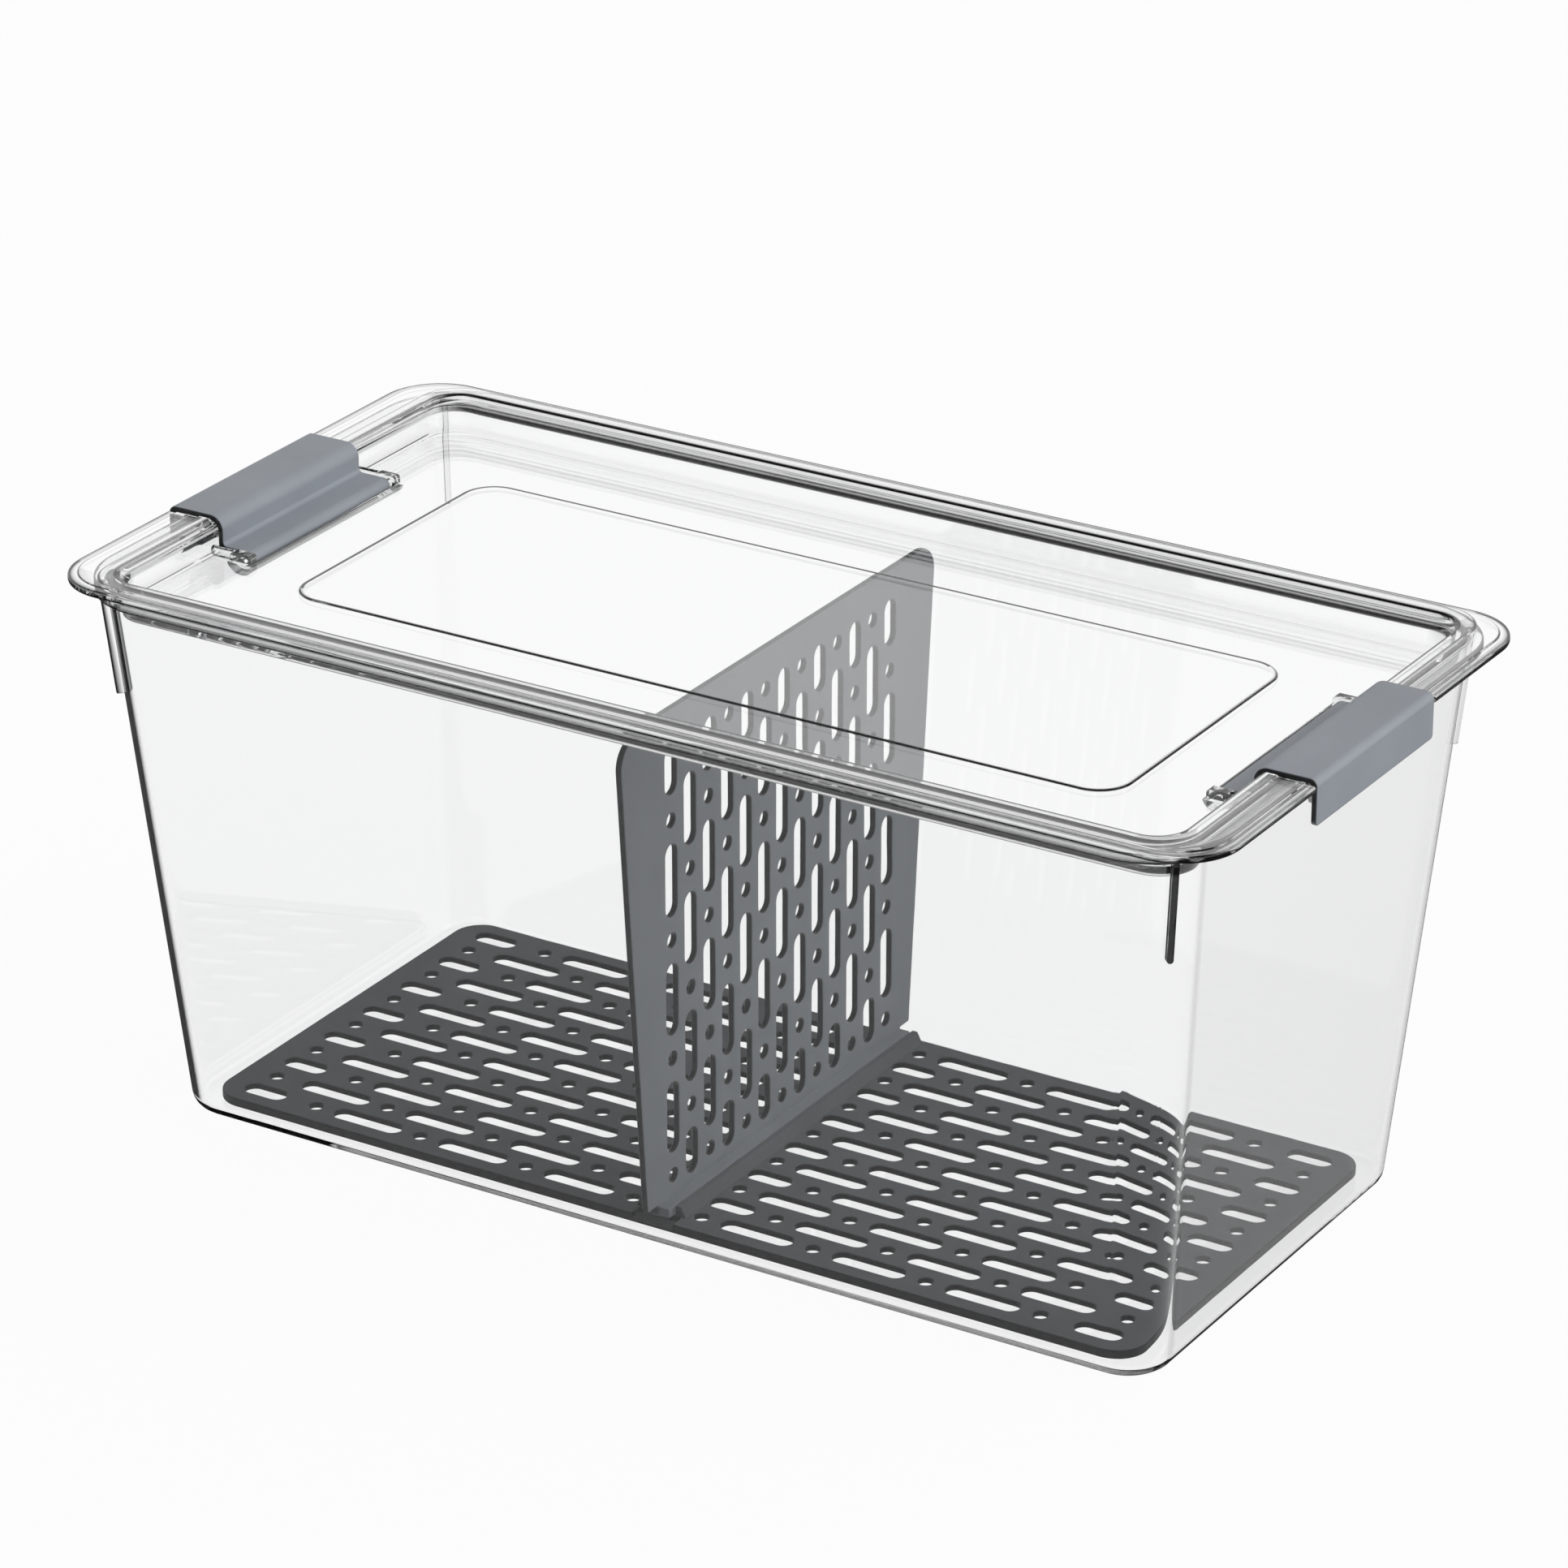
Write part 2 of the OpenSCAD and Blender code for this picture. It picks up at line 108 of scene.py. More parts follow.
# Lid
lid_t = 2.6
lid_r = 16
band_w = 2.8
band_drop = 0.7
end_drop = 0.4
ridge_w = 3.6
well_depth = 8.9
panel_t = 2
well_t = 1.8
flare_side = 3.2
flare_end = 1.2
flare_h = 3.2
flare_r = 1
raised_h = 0.4
raised_end_in = 30.8
raised_side_in = 28.3
raised_r = 9
raised_band = 0.9
raised_slope = 0.1
raised_round = 0.25
raised_foot_round = 0.2
line_support = 0.3
well_foot_r = 1
flare_foot_r = 1.2
lip_round = 0.9
step_out = 0.3
step_side_out = 0.15
step_flat = 0.2
step_r = 0.2
ridge_round = 0.3
ridge_foot_round = 0.25
step_round = 0.2
band_round = 0.6
lid_round = 0.6
plug_gap = 0.5
plug_top_r = 0.4
plug_foot_r = 1.2
lid_under_z = ridge_z - lid_t
panel_z = ridge_z - well_depth
panel_under_z = panel_z - panel_t
plug_l = base_l + slope * panel_under_z - wall - plug_gap
plug_w = base_w + slope * panel_under_z - wall - plug_gap
plug_r = bin_r - wall - plug_gap
well_l = plug_l - well_t
well_w = plug_w - well_t
well_r = plug_r - well_t
raised_l = well_l - raised_end_in
raised_w = well_w - raised_side_in
raised_z = panel_z + raised_h
lip_l = well_l + flare_end
lip_w = well_w + flare_side
lip_r = well_r + flare_r

# Clips and their hinges
clip_half = 30
clip_t = 1.4
clip_gap = 0.2
clip_end_gap = 0.4
lip_reach = 1.7
lip_h = 1.2
lip_in = 6
lip_edge_r = 0.35
lip_end_round = 0.3
bend_r = 4
edge_r = 2
clip_foot_r = 1.2
clip_foot_inner_r = 0.8
leg_outer_r = 0.65
leg_inner_r = 0.5
leg_corner = 2
clip_end_round = 0.3
pin_end_round = 0.25
pin_r = 1.5
pin_gap = 0.05
barrel_r = 2.2
trough_r = 3.15
trough_t = 1.3
trough_drop = 0.1
ear_t = 2.6
ear_h = 2.2
ear_cover = 0.15
ear_round = 0.9
brace_h = 1.4
brace_r = 1
brace_in = 0.5
riser_gap = 0.4
swing_gap = 2.1
saddle_in = 2
room_reach = 20
wedge_in = 0.2
bend_gap = 0.6
hinge_drop = 0.4
axis_x = clip_low.x + barrel_r
axis_z = panel_z - hinge_drop
riser_x = well_l - riser_gap
foot_z = axis_z + barrel_r - clip_t
saddle_z = total_h - clip_t - clip_gap
lip_x = half_l - clip_t - lip_reach
gate_x = lip_x - swing_gap
gate_half = clip_half + 2 * clip_end_gap
ear_in = clip_half + clip_end_gap
catch_gap = 0.8
catch_z = leg_z + lip_h + catch_gap

# Tray and divider
tray_l = tray_high.x
tray_w = tray_high.y
tray_t = 1.7
tray_r = 8
rim_t = 1.6
rim_proud = 0.03
rim_foot_round = 0.4
rim_top_round = 0.1
plate_edge = 0.3
keeper_h = 2.8
keeper_w = 1.6
keeper_slope = 1.4
keeper_back = 1
keeper_round = 0.4
keeper_inner_round = 0.3
keeper_end_round = 0.25
foot_gap = 0.25
foot_round = 0.4
notch_w = 12
notch_d = 4.2
notch_r = 0.8
slot_w = 5.4
dot_d = 4
tray_slot = 20.4
short_slot = 12.4
div_slot = 19.2
div_t = 1.8
div_gap = 1.2
foot_in = 4.7
div_r = 7
div_low_r = 0.6
plate_lift = 0.2
tray_z = keeper_z - keeper_h
first_hole = 10
end_margin = 28
edge_row = 7.2
short_in = 3.4
short_end = 12.4
dot_end = 9.6
low_margin = 5.6
top_margin = 27.7
edge_col = 11.8
short_up = 3.2
short_down = 14.7
dot_down = 11
pitches = 3
rows = 6
tray_pitch = (tray_l - first_hole - end_margin) / pitches
tray_row = (tray_w - edge_row) / rows
div_low = keeper_z + plate_lift
div_half_low = base_w + slope * div_low - wall - div_gap
div_half_top = base_w + slope * div_top - wall - div_gap
low_hole = keeper_z + low_margin
div_pitch = (div_top - top_margin - low_hole) / pitches
div_col = (div_half_low - edge_col) / rows

# Mesh detail
CORNER_STEPS = 18
ARC_STEPS = 6
CIRCLE_STEPS = 40
END_STEPS = 12
DOT_STEPS = 20
PIN_STEPS = 24
BARREL_STEPS = 30
CLIP_STEPS = 9
TRIM_STEPS = 10
RIM_STEPS = 3
EDGE_STEPS = 3
BEVEL_STEPS = 2
SUPPORT = 0.35
ARC_SHARE = 0.48
CAP_R = 1
OVERLAP = 1
NEAR = 0.02
WELD = 1e-4
TINY = 1e-6
DIAGONAL = math.sqrt(0.5)
FULL_BEND = math.radians(3.5)
SHARP = math.radians(40)
SMOOTH_BELOW = math.radians(32)

# Strengths of the painted shade on edges, rounds and narrow sides, from 0 to 1
CORNER_MIDDLE = 0.72
CORNER_FADE = 0.38
FOOT_SHARE = 0.25
FAINT_EDGE = 0.2
UPPER_FLANGE = 0.65
BACK_RIB = 0.3
FRONT_STEP = 0.45
OTHER_STEP = 0.15
LIP_EDGE = 0.5
FRONT_LINE = 0.55
RIGHT_LINE = 0.35
RIM_OUTSIDE = 0.95

# Where the lid's painted dark edges begin and end, in millimetres from their line
STEP_ZONE = (-0.6, 0.25)
LIP_ZONE = (-0.65, 0.3)
LIP_DEPTH = 0.3
FLARE_ZONE = (-1.4, 0.2)
FLARE_DEPTH = 0.55

# Features of the plastics per metre, and the range in which their noise mostly lies
CLOUDS = 38
GRAIN = 2600
FLOW = 34
HAZE = 420
NOISE_RANGE = (0.3, 0.7)
CLOUD_RANGE = (0.32, 0.68)


def rounded_path(points, plane=(0, 1), closed=False, steps=ARC_STEPS, support=0.0):
    """Rounds the corners of a path of (coordinates, radius) pairs.

    plane names the two coordinates that the radius is measured in. An arc takes up less than
    half of the shorter side. Points at the distance support beside it keep the flats' shading flat.
    """
    out = []
    count = len(points)
    for i, (corner, radius) in enumerate(points):
        corner = Vector(corner)
        if radius == 0 or (not closed and i in (0, count - 1)):
            out.append(corner)
            continue
        before = Vector(points[i - 1][0]) - corner
        after = Vector(points[(i + 1) % count][0]) - corner
        flat_before = Vector([before[k] for k in plane])
        flat_after = Vector([after[k] for k in plane])
        half_turn = (math.pi - flat_before.angle(flat_after)) / 2
        room = ARC_SHARE * min(flat_before.length, flat_after.length)
        reach = min(radius * math.tan(half_turn), room)
        start = corner + before * (reach / flat_before.length)
        end = corner + after * (reach / flat_after.length)
        weight = math.cos(half_turn)
        if support and reach + 2 * support < ARC_SHARE * flat_before.length:
            out.append(corner + before * ((reach + support) / flat_before.length))
        for k in range(steps + 1):
            t = k / steps
            parts = ((1 - t) ** 2, 2 * weight * t * (1 - t), t * t)
            total = sum(parts)
            out.append((start * parts[0] + corner * parts[1] + end * parts[2]) / total)
        if support and reach + 2 * support < ARC_SHARE * flat_after.length:
            out.append(corner + after * ((reach + support) / flat_after.length))
    return out


def circle(x, y, radius, start=0.0, turn=360.0, steps=CIRCLE_STEPS):
    """Points of a circle, or of an arc with both its ends."""
    count = steps if turn == 360 else steps + 1
    angles = [math.radians(start + turn * k / steps) for k in range(count)]
    return [(x + radius * math.cos(a), y + radius * math.sin(a)) for a in angles]


def ring(l, w, r, z):
    """Points of a level rounded rectangle with half sizes l and w, always the same number of them."""
    beside = 1.5
    third = 0.35
    centres = [(l - r, w - r), (r - l, w - r), (r - l, r - w), (l - r, r - w)]
    arcs = [circle(x, y, r, 90 * k, 90, CORNER_STEPS) for k, (x, y) in enumerate(centres)]
    points = []
    for k, arc in enumerate(arcs):
        points += arc
        here = Vector(arc[-1])
        there = Vector(arcs[(k + 1) % 4][0])
        near = beside / max((there - here).length, 4 * beside)
        for t in (near, third, 1 - third, 1 - near):
            points.append(tuple(here.lerp(there, t)))
    return [(x, y, z) for x, y in points]


def loft(profile, closed=False):
    """Closed mesh through rings given by (l, w, r, z).

    The first and the last ring get flat caps, or are joined to each other where closed is true.
    """
    mesh = bmesh.new()
    loops = [[mesh.verts.new(p) for p in ring(*spec)] for spec in profile]
    count = len(loops[0])
    for a, b in zip(loops, loops[1:] + loops[:1] if closed else loops[1:]):
        for i in range(count):
            j = (i + 1) % count
            mesh.faces.new((a[i], a[j], b[j], b[i]))
    if not closed:
        mesh.faces.new(loops[0])
        mesh.faces.new(list(reversed(loops[-1])))
    bmesh.ops.recalc_face_normals(mesh, faces=mesh.faces)
    return mesh


def inset(outline, depth):
    """The outline moved inwards by depth, for a small edge round."""
    least = 0.5
    points = [Vector(p) for p in outline]
    count = len(points)
    area = sum(points[i - 1].x * points[i].y - points[i].x * points[i - 1].y for i in range(count))
    turn = 1 if area > 0 else -1
    out = []
    for i, p in enumerate(points):
        a = (p - points[i - 1]).normalized()
        b = (points[(i + 1) % count] - p).normalized()
        along = (a + b).normalized()
        inward = Vector((-along.y, along.x)) * turn
        out.append(p + inward * depth / max(along.dot(a), least))
    return out


def prism(mesh, outline, low, high, place, edge=0.0):
    """Adds to mesh a closed prism over a flat outline, its end edges rounded by edge.

    place turns a point of the outline and a height into x, y, z.
    """
    levels = []
    for k in range(EDGE_STEPS + 1 if edge else 1):
        a = math.pi / 2 * k / EDGE_STEPS
        levels.append((low + edge * (1 - math.cos(a)), edge * (1 - math.sin(a))))
    levels += [(low + high - h, depth) for h, depth in reversed(levels)]
    loops = []
    for height, depth in levels:
        points = inset(outline, depth) if depth > TINY else outline
        loops.append([mesh.verts.new(place(p[0], p[1], height)) for p in points])
    count = len(outline)
    faces = []
    for a, b in zip(loops, loops[1:]):
        for i in range(count):
            j = (i + 1) % count
            faces.append(mesh.faces.new((a[i], a[j], b[j], b[i])))
    faces.append(mesh.faces.new(list(reversed(loops[0]))))
    faces.append(mesh.faces.new(loops[-1]))
    bmesh.ops.recalc_face_normals(mesh, faces=faces)


def along_x(u, v, h):
    """Place for a prism that runs along x."""
    return h, u, v


def along_y(u, v, h):
    """Place for a prism that runs along y."""
    return u, h, v


def along_z(u, v, h):
    """Place for a prism that runs along z."""
    return u, v, h


def box_outline(x0, y0, x1, y1, r=0.0):
    """Rectangle between two corners, rounded by r."""
    corners = [((x0, y0), r), ((x1, y0), r), ((x1, y1), r), ((x0, y1), r)]
    return rounded_path(corners, closed=True)


def make_object(name, mesh):
    """A Blender object in metres from a bmesh in millimetres."""
    bmesh.ops.scale(mesh, vec=(MM, MM, MM), verts=mesh.verts)
    data = bpy.data.meshes.new(name)
    mesh.to_mesh(data)
    mesh.free()
    piece = bpy.data.objects.new(name, data)
    bpy.context.scene.collection.objects.link(piece)
    return piece


def settle(piece):
    """Applies the modifiers of a piece to its mesh."""
    graph = bpy.context.evaluated_depsgraph_get()
    data = bpy.data.meshes.new_from_object(piece.evaluated_get(graph))
    piece.modifiers.clear()
    piece.data = data
    data.name = piece.name


def combine(piece, tool_mesh, operation):
    """Joins a closed mesh to a piece, or cuts it away, and leaves one solid."""
    tool = make_object("tool", tool_mesh)
    step = piece.modifiers.new("combine", "BOOLEAN")
    step.operation = operation
    step.solver = "EXACT"
    step.use_self = True
    step.object = tool
    settle(piece)
    bpy.data.objects.remove(tool)


def join(piece, other):
    """Adds the mesh of another object to a piece and removes that object."""
    mesh = bmesh.new()
    mesh.from_mesh(piece.data)
    mesh.from_mesh(other.data)
    mesh.to_mesh(piece.data)
    mesh.free()
    bpy.data.objects.remove(other)


def mark(piece, name, measure):
    """Stores at each vertex of a piece a number from 0 to 1 that measure works out, for its material."""
    mesh = bmesh.new()
    mesh.from_mesh(piece.data)
    numbers = [measure(vertex) for vertex in mesh.verts]
    mesh.free()
    piece.data.attributes.new(name, "FLOAT", "POINT").data.foreach_set("value", numbers)


def bend(vertex):
    """0 on flats and in hollows, 1 on outward rounds; edges sharper than a round don't count."""
    turns = [edge.calc_face_angle(0.0) for edge in vertex.link_edges if edge.is_convex]
    return min(max([turn for turn in turns if turn < SHARP], default=0) / FULL_BEND, 1)


def shade(piece):
    """Smooth shading that keeps flats flat and strong edges sharp."""
    data = piece.data
    data.polygons.foreach_set("use_smooth", [True] * len(data.polygons))
    data.set_sharp_from_angle(angle=SMOOTH_BELOW)
    step = piece.modifiers.new("flat_faces", "WEIGHTED_NORMAL")
    step.keep_sharp = True


def dress(piece, material, body, node):
    """Gives a piece its material, hangs it on the empty of the body it rides on and hides the CAD node it
    stands for.
    """
    piece.data.materials.clear()
    piece.data.materials.append(material)
    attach(piece, body)
    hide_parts(node)


# Materials

def new_material(name):
    """An empty node material with a Principled shader."""
    material = bpy.data.materials.new(name)
    material.use_nodes = True
    nodes = material.node_tree.nodes
    return material, nodes, material.node_tree.links, nodes["Principled BSDF"]


def noise(nodes, links, coords, scale, detail=2.0):
    """Noise in the object's own frame; scale counts features per metre."""
    node = nodes.new("ShaderNodeTexNoise")
    node.inputs["Scale"].default_value = scale
    node.inputs["Detail"].default_value = detail
    links.new(coords.outputs["Object"], node.inputs["Vector"])
    return node


def spread(nodes, links, source, low, high):
    """Maps a noise to the range from low to high."""
    node = nodes.new("ShaderNodeMapRange")
    node.inputs["From Min"].default_value = NOISE_RANGE[0]
    node.inputs["From Max"].default_value = NOISE_RANGE[1]
    node.inputs["To Min"].default_value = low
    node.inputs["To Max"].default_value = high
    links.new(source.outputs["Fac"], node.inputs["Value"])
    return node


def bump(nodes, links, source, distance, strength, below=None):
    """Bump of that depth in metres from a noise, on top of another bump."""
    node = nodes.new("ShaderNodeBump")
    node.inputs["Distance"].default_value = distance
    node.inputs["Strength"].default_value = strength
    links.new(source.outputs["Fac"], node.inputs["Height"])
    if below:
        links.new(below.outputs["Normal"], node.inputs["Normal"])
    return node


def moulded_plastic(name, dark, light, painted_side_shade, shine, rough_low, rough_high):
    """Satin moulded plastic: cloudy tone, fine spark-eroded grain, uneven gloss, and painted shade that
    darkens the narrow sides.
    """
    material, nodes, links, shader = new_material(name)
    coords = nodes.new("ShaderNodeTexCoord")
    cloud = noise(nodes, links, coords, CLOUDS, 4)
    grain = noise(nodes, links, coords, GRAIN)
    ramp = nodes.new("ShaderNodeValToRGB")
    ramp.color_ramp.elements[0].position = CLOUD_RANGE[0]
    ramp.color_ramp.elements[0].color = (*dark, 1)
    ramp.color_ramp.elements[1].position = CLOUD_RANGE[1]
    ramp.color_ramp.elements[1].color = (*light, 1)
    links.new(cloud.outputs["Fac"], ramp.inputs["Fac"])
    # Painted shade: the narrow sides marked 'side' get a near-black tint
    narrow = nodes.new("ShaderNodeAttribute")
    narrow.attribute_name = "side"
    colour = nodes.new("ShaderNodeMix")
    colour.data_type = "RGBA"
    colour.inputs["B"].default_value = (*painted_side_shade, 1)
    links.new(narrow.outputs["Fac"], colour.inputs["Factor"])
    links.new(ramp.outputs["Color"], colour.inputs["A"])
    links.new(colour.outputs["Result"], shader.inputs["Base Color"])
    gloss = spread(nodes, links, grain, rough_low, rough_high)
    links.new(gloss.outputs["Result"], shader.inputs["Roughness"])
    waves = bump(nodes, links, cloud, distance=0.0004, strength=0.06)
    skin = bump(nodes, links, grain, distance=0.00003, strength=0.35, below=waves)
    shader.inputs["Specular IOR Level"].default_value = shine
    links.new(skin.outputs["Normal"], shader.inputs["Normal"])
    return material


def clear_plastic(name, tint, painted_edge_shade, ior, wave_depth):
    """Clear moulded plastic: painted shade darkens its rounds at a grazing angle and its marked edges at
    every angle.
    """
    material, nodes, links, shader = new_material(name)
    coords = nodes.new("ShaderNodeTexCoord")
    flow = noise(nodes, links, coords, FLOW)
    haze = noise(nodes, links, coords, HAZE)
    facing = nodes.new("ShaderNodeLayerWeight")
    facing.inputs["Blend"].default_value = 0.5
    grazing = nodes.new("ShaderNodeMapRange")
    grazing.interpolation_type = "SMOOTHSTEP"
    grazing.inputs["From Min"].default_value = 0.44
    grazing.inputs["From Max"].default_value = 0.6
    # Painted shade: the marks 'bend' and 'edge' mix a near-black tint into the clear colour
    rounds = nodes.new("ShaderNodeAttribute")
    rounds.attribute_name = "bend"
    always = nodes.new("ShaderNodeAttribute")
    always.attribute_name = "edge"
    edges = nodes.new("ShaderNodeMath")
    edges.operation = "MULTIPLY"
    dark = nodes.new("ShaderNodeMath")
    dark.operation = "MAXIMUM"
    colour = nodes.new("ShaderNodeMix")
    colour.data_type = "RGBA"
    colour.inputs["A"].default_value = (*tint, 1)
    colour.inputs["B"].default_value = (*painted_edge_shade, 1)
    links.new(facing.outputs["Facing"], grazing.inputs["Value"])
    links.new(grazing.outputs["Result"], edges.inputs[0])
    links.new(rounds.outputs["Fac"], edges.inputs[1])
    links.new(edges.outputs["Value"], dark.inputs[0])
    links.new(always.outputs["Fac"], dark.inputs[1])
    links.new(dark.outputs["Value"], colour.inputs["Factor"])
    links.new(colour.outputs["Result"], shader.inputs["Base Color"])
    gloss = spread(nodes, links, haze, low=0.0, high=0.02)
    links.new(gloss.outputs["Result"], shader.inputs["Roughness"])
    waves = bump(nodes, links, flow, distance=wave_depth, strength=1.0)
    links.new(waves.outputs["Normal"], shader.inputs["Normal"])
    shader.inputs["IOR"].default_value = ior
    shader.inputs["Transmission Weight"].default_value = 1.0
    return material


# Near-black colour of the painted shade on the edges of the clear bin and lid
PAINTED_EDGE_SHADE = (0.002, 0.002, 0.002)
clear_bin = clear_plastic(
    "clear_bin", tint=(0.980, 0.983, 0.982), painted_edge_shade=PAINTED_EDGE_SHADE, ior=1.46, wave_depth=0.00003)
clear_lid = clear_plastic(
    "clear_lid", tint=(0.976, 0.979, 0.978), painted_edge_shade=PAINTED_EDGE_SHADE, ior=1.57, wave_depth=0.00002)
clip_grey = moulded_plastic(
    "clip_grey", dark=(0.290, 0.314, 0.350), light=(0.325, 0.350, 0.388),
    painted_side_shade=(0.03, 0.032, 0.034), shine=0.35, rough_low=0.36, rough_high=0.5)
tray_grey = moulded_plastic(
    "tray_grey", dark=(0.145, 0.157, 0.168), light=(0.166, 0.178, 0.190),
    painted_side_shade=(0.004, 0.004, 0.005), shine=0.08, rough_low=0.4, rough_high=0.55)
# A little lighter than the clips' grey: painted light that makes up for the dimmer light inside the box
divider_grey = moulded_plastic(
    "divider_grey", dark=(0.310, 0.333, 0.362), light=(0.340, 0.364, 0.394),
    painted_side_shade=(0.018, 0.019, 0.021), shine=0.2, rough_low=0.4, rough_high=0.55)


# Bin

def wall_ring(z, thickness=0.0, inward=0.0):
    """Ring on the leaning wall at a height: outside, or inside by the wall thickness."""
    away = thickness + inward
    return base_l + slope * z - away, base_w + slope * z - away, max(bin_r - away, CAP_R), z


def bin_shell():
    """One leaning shell with a rounded foot, a flange round the mouth and soft edges."""
    profile = [
        (wall_ring(floor_t, wall, bin_r - wall - CAP_R), 0),
        (wall_ring(floor_t, wall), floor_r),
        (wall_ring(mouth_z, wall), mouth_round),
        ((flange_l, flange_w, bin_flange_r, mouth_z), flange_round),
        ((flange_l, flange_w, bin_flange_r, flange_under_z), flange_round),
        (wall_ring(flange_under_z), flange_root_r),
        (wall_ring(0), bottom_r),
        (wall_ring(0, 0, bin_r - CAP_R), 0),
    ]
    return loft(rounded_path(profile, plane=(0, 3), support=SUPPORT))


def corner_ribs(mesh):
    """Stacking ribs on the four corners, leaning with the wall."""
    low = flange_under_z - rib_h
    half_t = rib_t / 2
    outline = [(half_t, rib_h + bin_flange_t / 2), (-half_t, rib_h + bin_flange_t / 2)]
    outline += circle(0, half_t, half_t, 180, 180, END_STEPS)
    for sx in (-1, 1):
        for sy in (-1, 1):
            def place(u, v, h, sx=sx, sy=sy):
                z = low + v
                corner = Vector((base_l + slope * z - bin_r, base_w + slope * z - bin_r))
                out = (bin_r + h) * DIAGONAL
                across = u * DIAGONAL
                return sx * (corner.x + out - across), sy * (corner.y + out + across), z
            prism(mesh, outline, -wall / 2, rib_out, place, rib_end_round)


def catches(mesh):
    """Downturned catch with a bead under each end flange."""
    for s in (-1, 1):
        points = [
            ((s * (flange_l - catch_t), catch_z), catch_round),
            ((s * (flange_l + catch_bead), catch_z), bead_round),
            ((s * (flange_l + catch_bead), catch_z + bead_h), bead_round),
            ((s * flange_l, catch_z + bead_h), bead_top_round),
            ((s * flange_l, flange_under_z + OVERLAP), 0),
            ((s * (flange_l - catch_t), flange_under_z + OVERLAP), 0),
        ]
        path = rounded_path(points, closed=True)
        prism(mesh, path, -catch_half, catch_half, along_y, catch_end_round)


def depth_in(x, y, l, w, r):
    """How far a point lies inside a rounded rectangle given by half sizes."""
    across = Vector((abs(x) - l + r, abs(y) - w + r))
    beyond = Vector((max(across.x, 0), max(across.y, 0)))
    return r - beyond.length - min(max(across), 0)


def bin_round_shade(vertex):
    """Painted shade on the bin's rounds, for light from the right: strongest on the upright corners at the
    left end, fading towards the right-hand end, and weaker on the foot.
    """
    x, y, z = vertex.co / MM
    if z > flange_under_z:
        return bend(vertex)
    fade = min(CORNER_MIDDLE - CORNER_FADE * x / half_l, 1)
    foot_top = 0.97 * bottom_r
    return bend(vertex) * (fade if z > foot_top else FOOT_SHARE * fade)


def backward(y, w, r):
    """1 along the back of a rounded rectangle, 0 along its ends and -1 along its front."""
    return math.copysign(min(max((abs(y) - w + r) / r, 0), 1), y)


def outer_edge_shade(x, y):
    """Strength of the painted shade on the outer edges: full in front and at the right, faint at the back
    and left.
    """
    return 1.0 if y < -half_w + lid_r or x > half_l - lid_r else FAINT_EDGE


def bin_edge_shade(vertex):
    """Painted shade on the dark edges of the flange, weaker on top, the back of the mouth and the ribs,
    weaker behind.
    """
    x, y, z = vertex.co / MM
    inner = wall_ring(z, wall)
    if depth_in(x, y, flange_l, flange_w, bin_flange_r) < flange_round + NEAR:
        upper = z > mouth_z - flange_round - NEAR
        lower = flange_under_z - OVERLAP < z < flange_under_z + flange_round + NEAR
        return outer_edge_shade(x, y) * (1.0 if lower else UPPER_FLANGE * float(upper))
    if z > mouth_z - mouth_round - NEAR:
        behind = max(backward(y, base_w, bin_r), 0)
        return behind * float(depth_in(x, y, *inner[:3]) > -mouth_round - NEAR)
    out = -depth_in(x, y, *wall_ring(z)[:3])
    if out > rib_out + NEAR or z > flange_under_z + NEAR:
        return 0.0
    clear_root = 0.4
    steepness = 3
    rise = min(max((out / rib_out - clear_root) * steepness, 0), 1)
    return rise * (1 if y < 0 else BACK_RIB)


bin_piece = make_object("bin_shell", bin_shell())
extras = bmesh.new()
corner_ribs(extras)
catches(extras)
combine(bin_piece, extras, "UNION")
# Masks of the painted shade on the bin's rounds and edges
mark(bin_piece, "bend", bin_round_shade)
mark(bin_piece, "edge", bin_edge_shade)
shade(bin_piece)
dress(bin_piece, clear_bin, "bin", "bin")


# Lid

def lid_shell():
    """Panel with a raised middle, sunken well, flared lip, ridge, end flats and edge band."""
    cap = raised_r - CAP_R
    band = raised_r - raised_band
    line_l = raised_l - raised_band
    line_w = raised_w - raised_band
    foot_l = raised_l + raised_slope
    foot_w = raised_w + raised_slope
    edge_l = half_l - band_w
    edge_w = half_w - band_w
    edge_r_in = lid_r - band_w
    flat_w = edge_w + step_flat
    ridge_r = well_r + ridge_w
    end_z = ridge_z - end_drop
    band_z = ridge_z - band_drop
    under = plug_r - CAP_R
    profile = [
        ((raised_l - cap, raised_w - cap, CAP_R, raised_z), 0),
        ((line_l - line_support, line_w - line_support, band - line_support, raised_z), 0),
        ((line_l, line_w, band, raised_z), 0),
        ((raised_l, raised_w, raised_r, raised_z), raised_round),
        ((foot_l, foot_w, raised_r + raised_slope, panel_z), raised_foot_round),
        ((well_l, well_w, well_r, panel_z), well_foot_r),
        ((well_l, well_w, well_r, ridge_z - flare_h), flare_foot_r),
        ((lip_l, lip_w, lip_r, ridge_z), lip_round),
        ((lip_l + ridge_w, edge_w, ridge_r, ridge_z), ridge_round),
        ((lip_l + ridge_w + step_out, edge_w + step_side_out, ridge_r + step_r, end_z), ridge_foot_round),
        ((edge_l, flat_w, edge_r_in, end_z), step_round),
        ((edge_l + step_out, flat_w + step_side_out, edge_r_in + step_r, band_z), step_round),
        ((half_l, half_w, lid_r, band_z), band_round),
        ((half_l, half_w, lid_r, lid_under_z), lid_round),
        ((plug_l, plug_w, plug_r, lid_under_z), plug_top_r),
        ((plug_l, plug_w, plug_r, panel_under_z), plug_foot_r),
        ((plug_l - under, plug_w - under, CAP_R, panel_under_z), 0),
    ]
    return loft(rounded_path(profile, plane=(0, 3), support=SUPPORT))


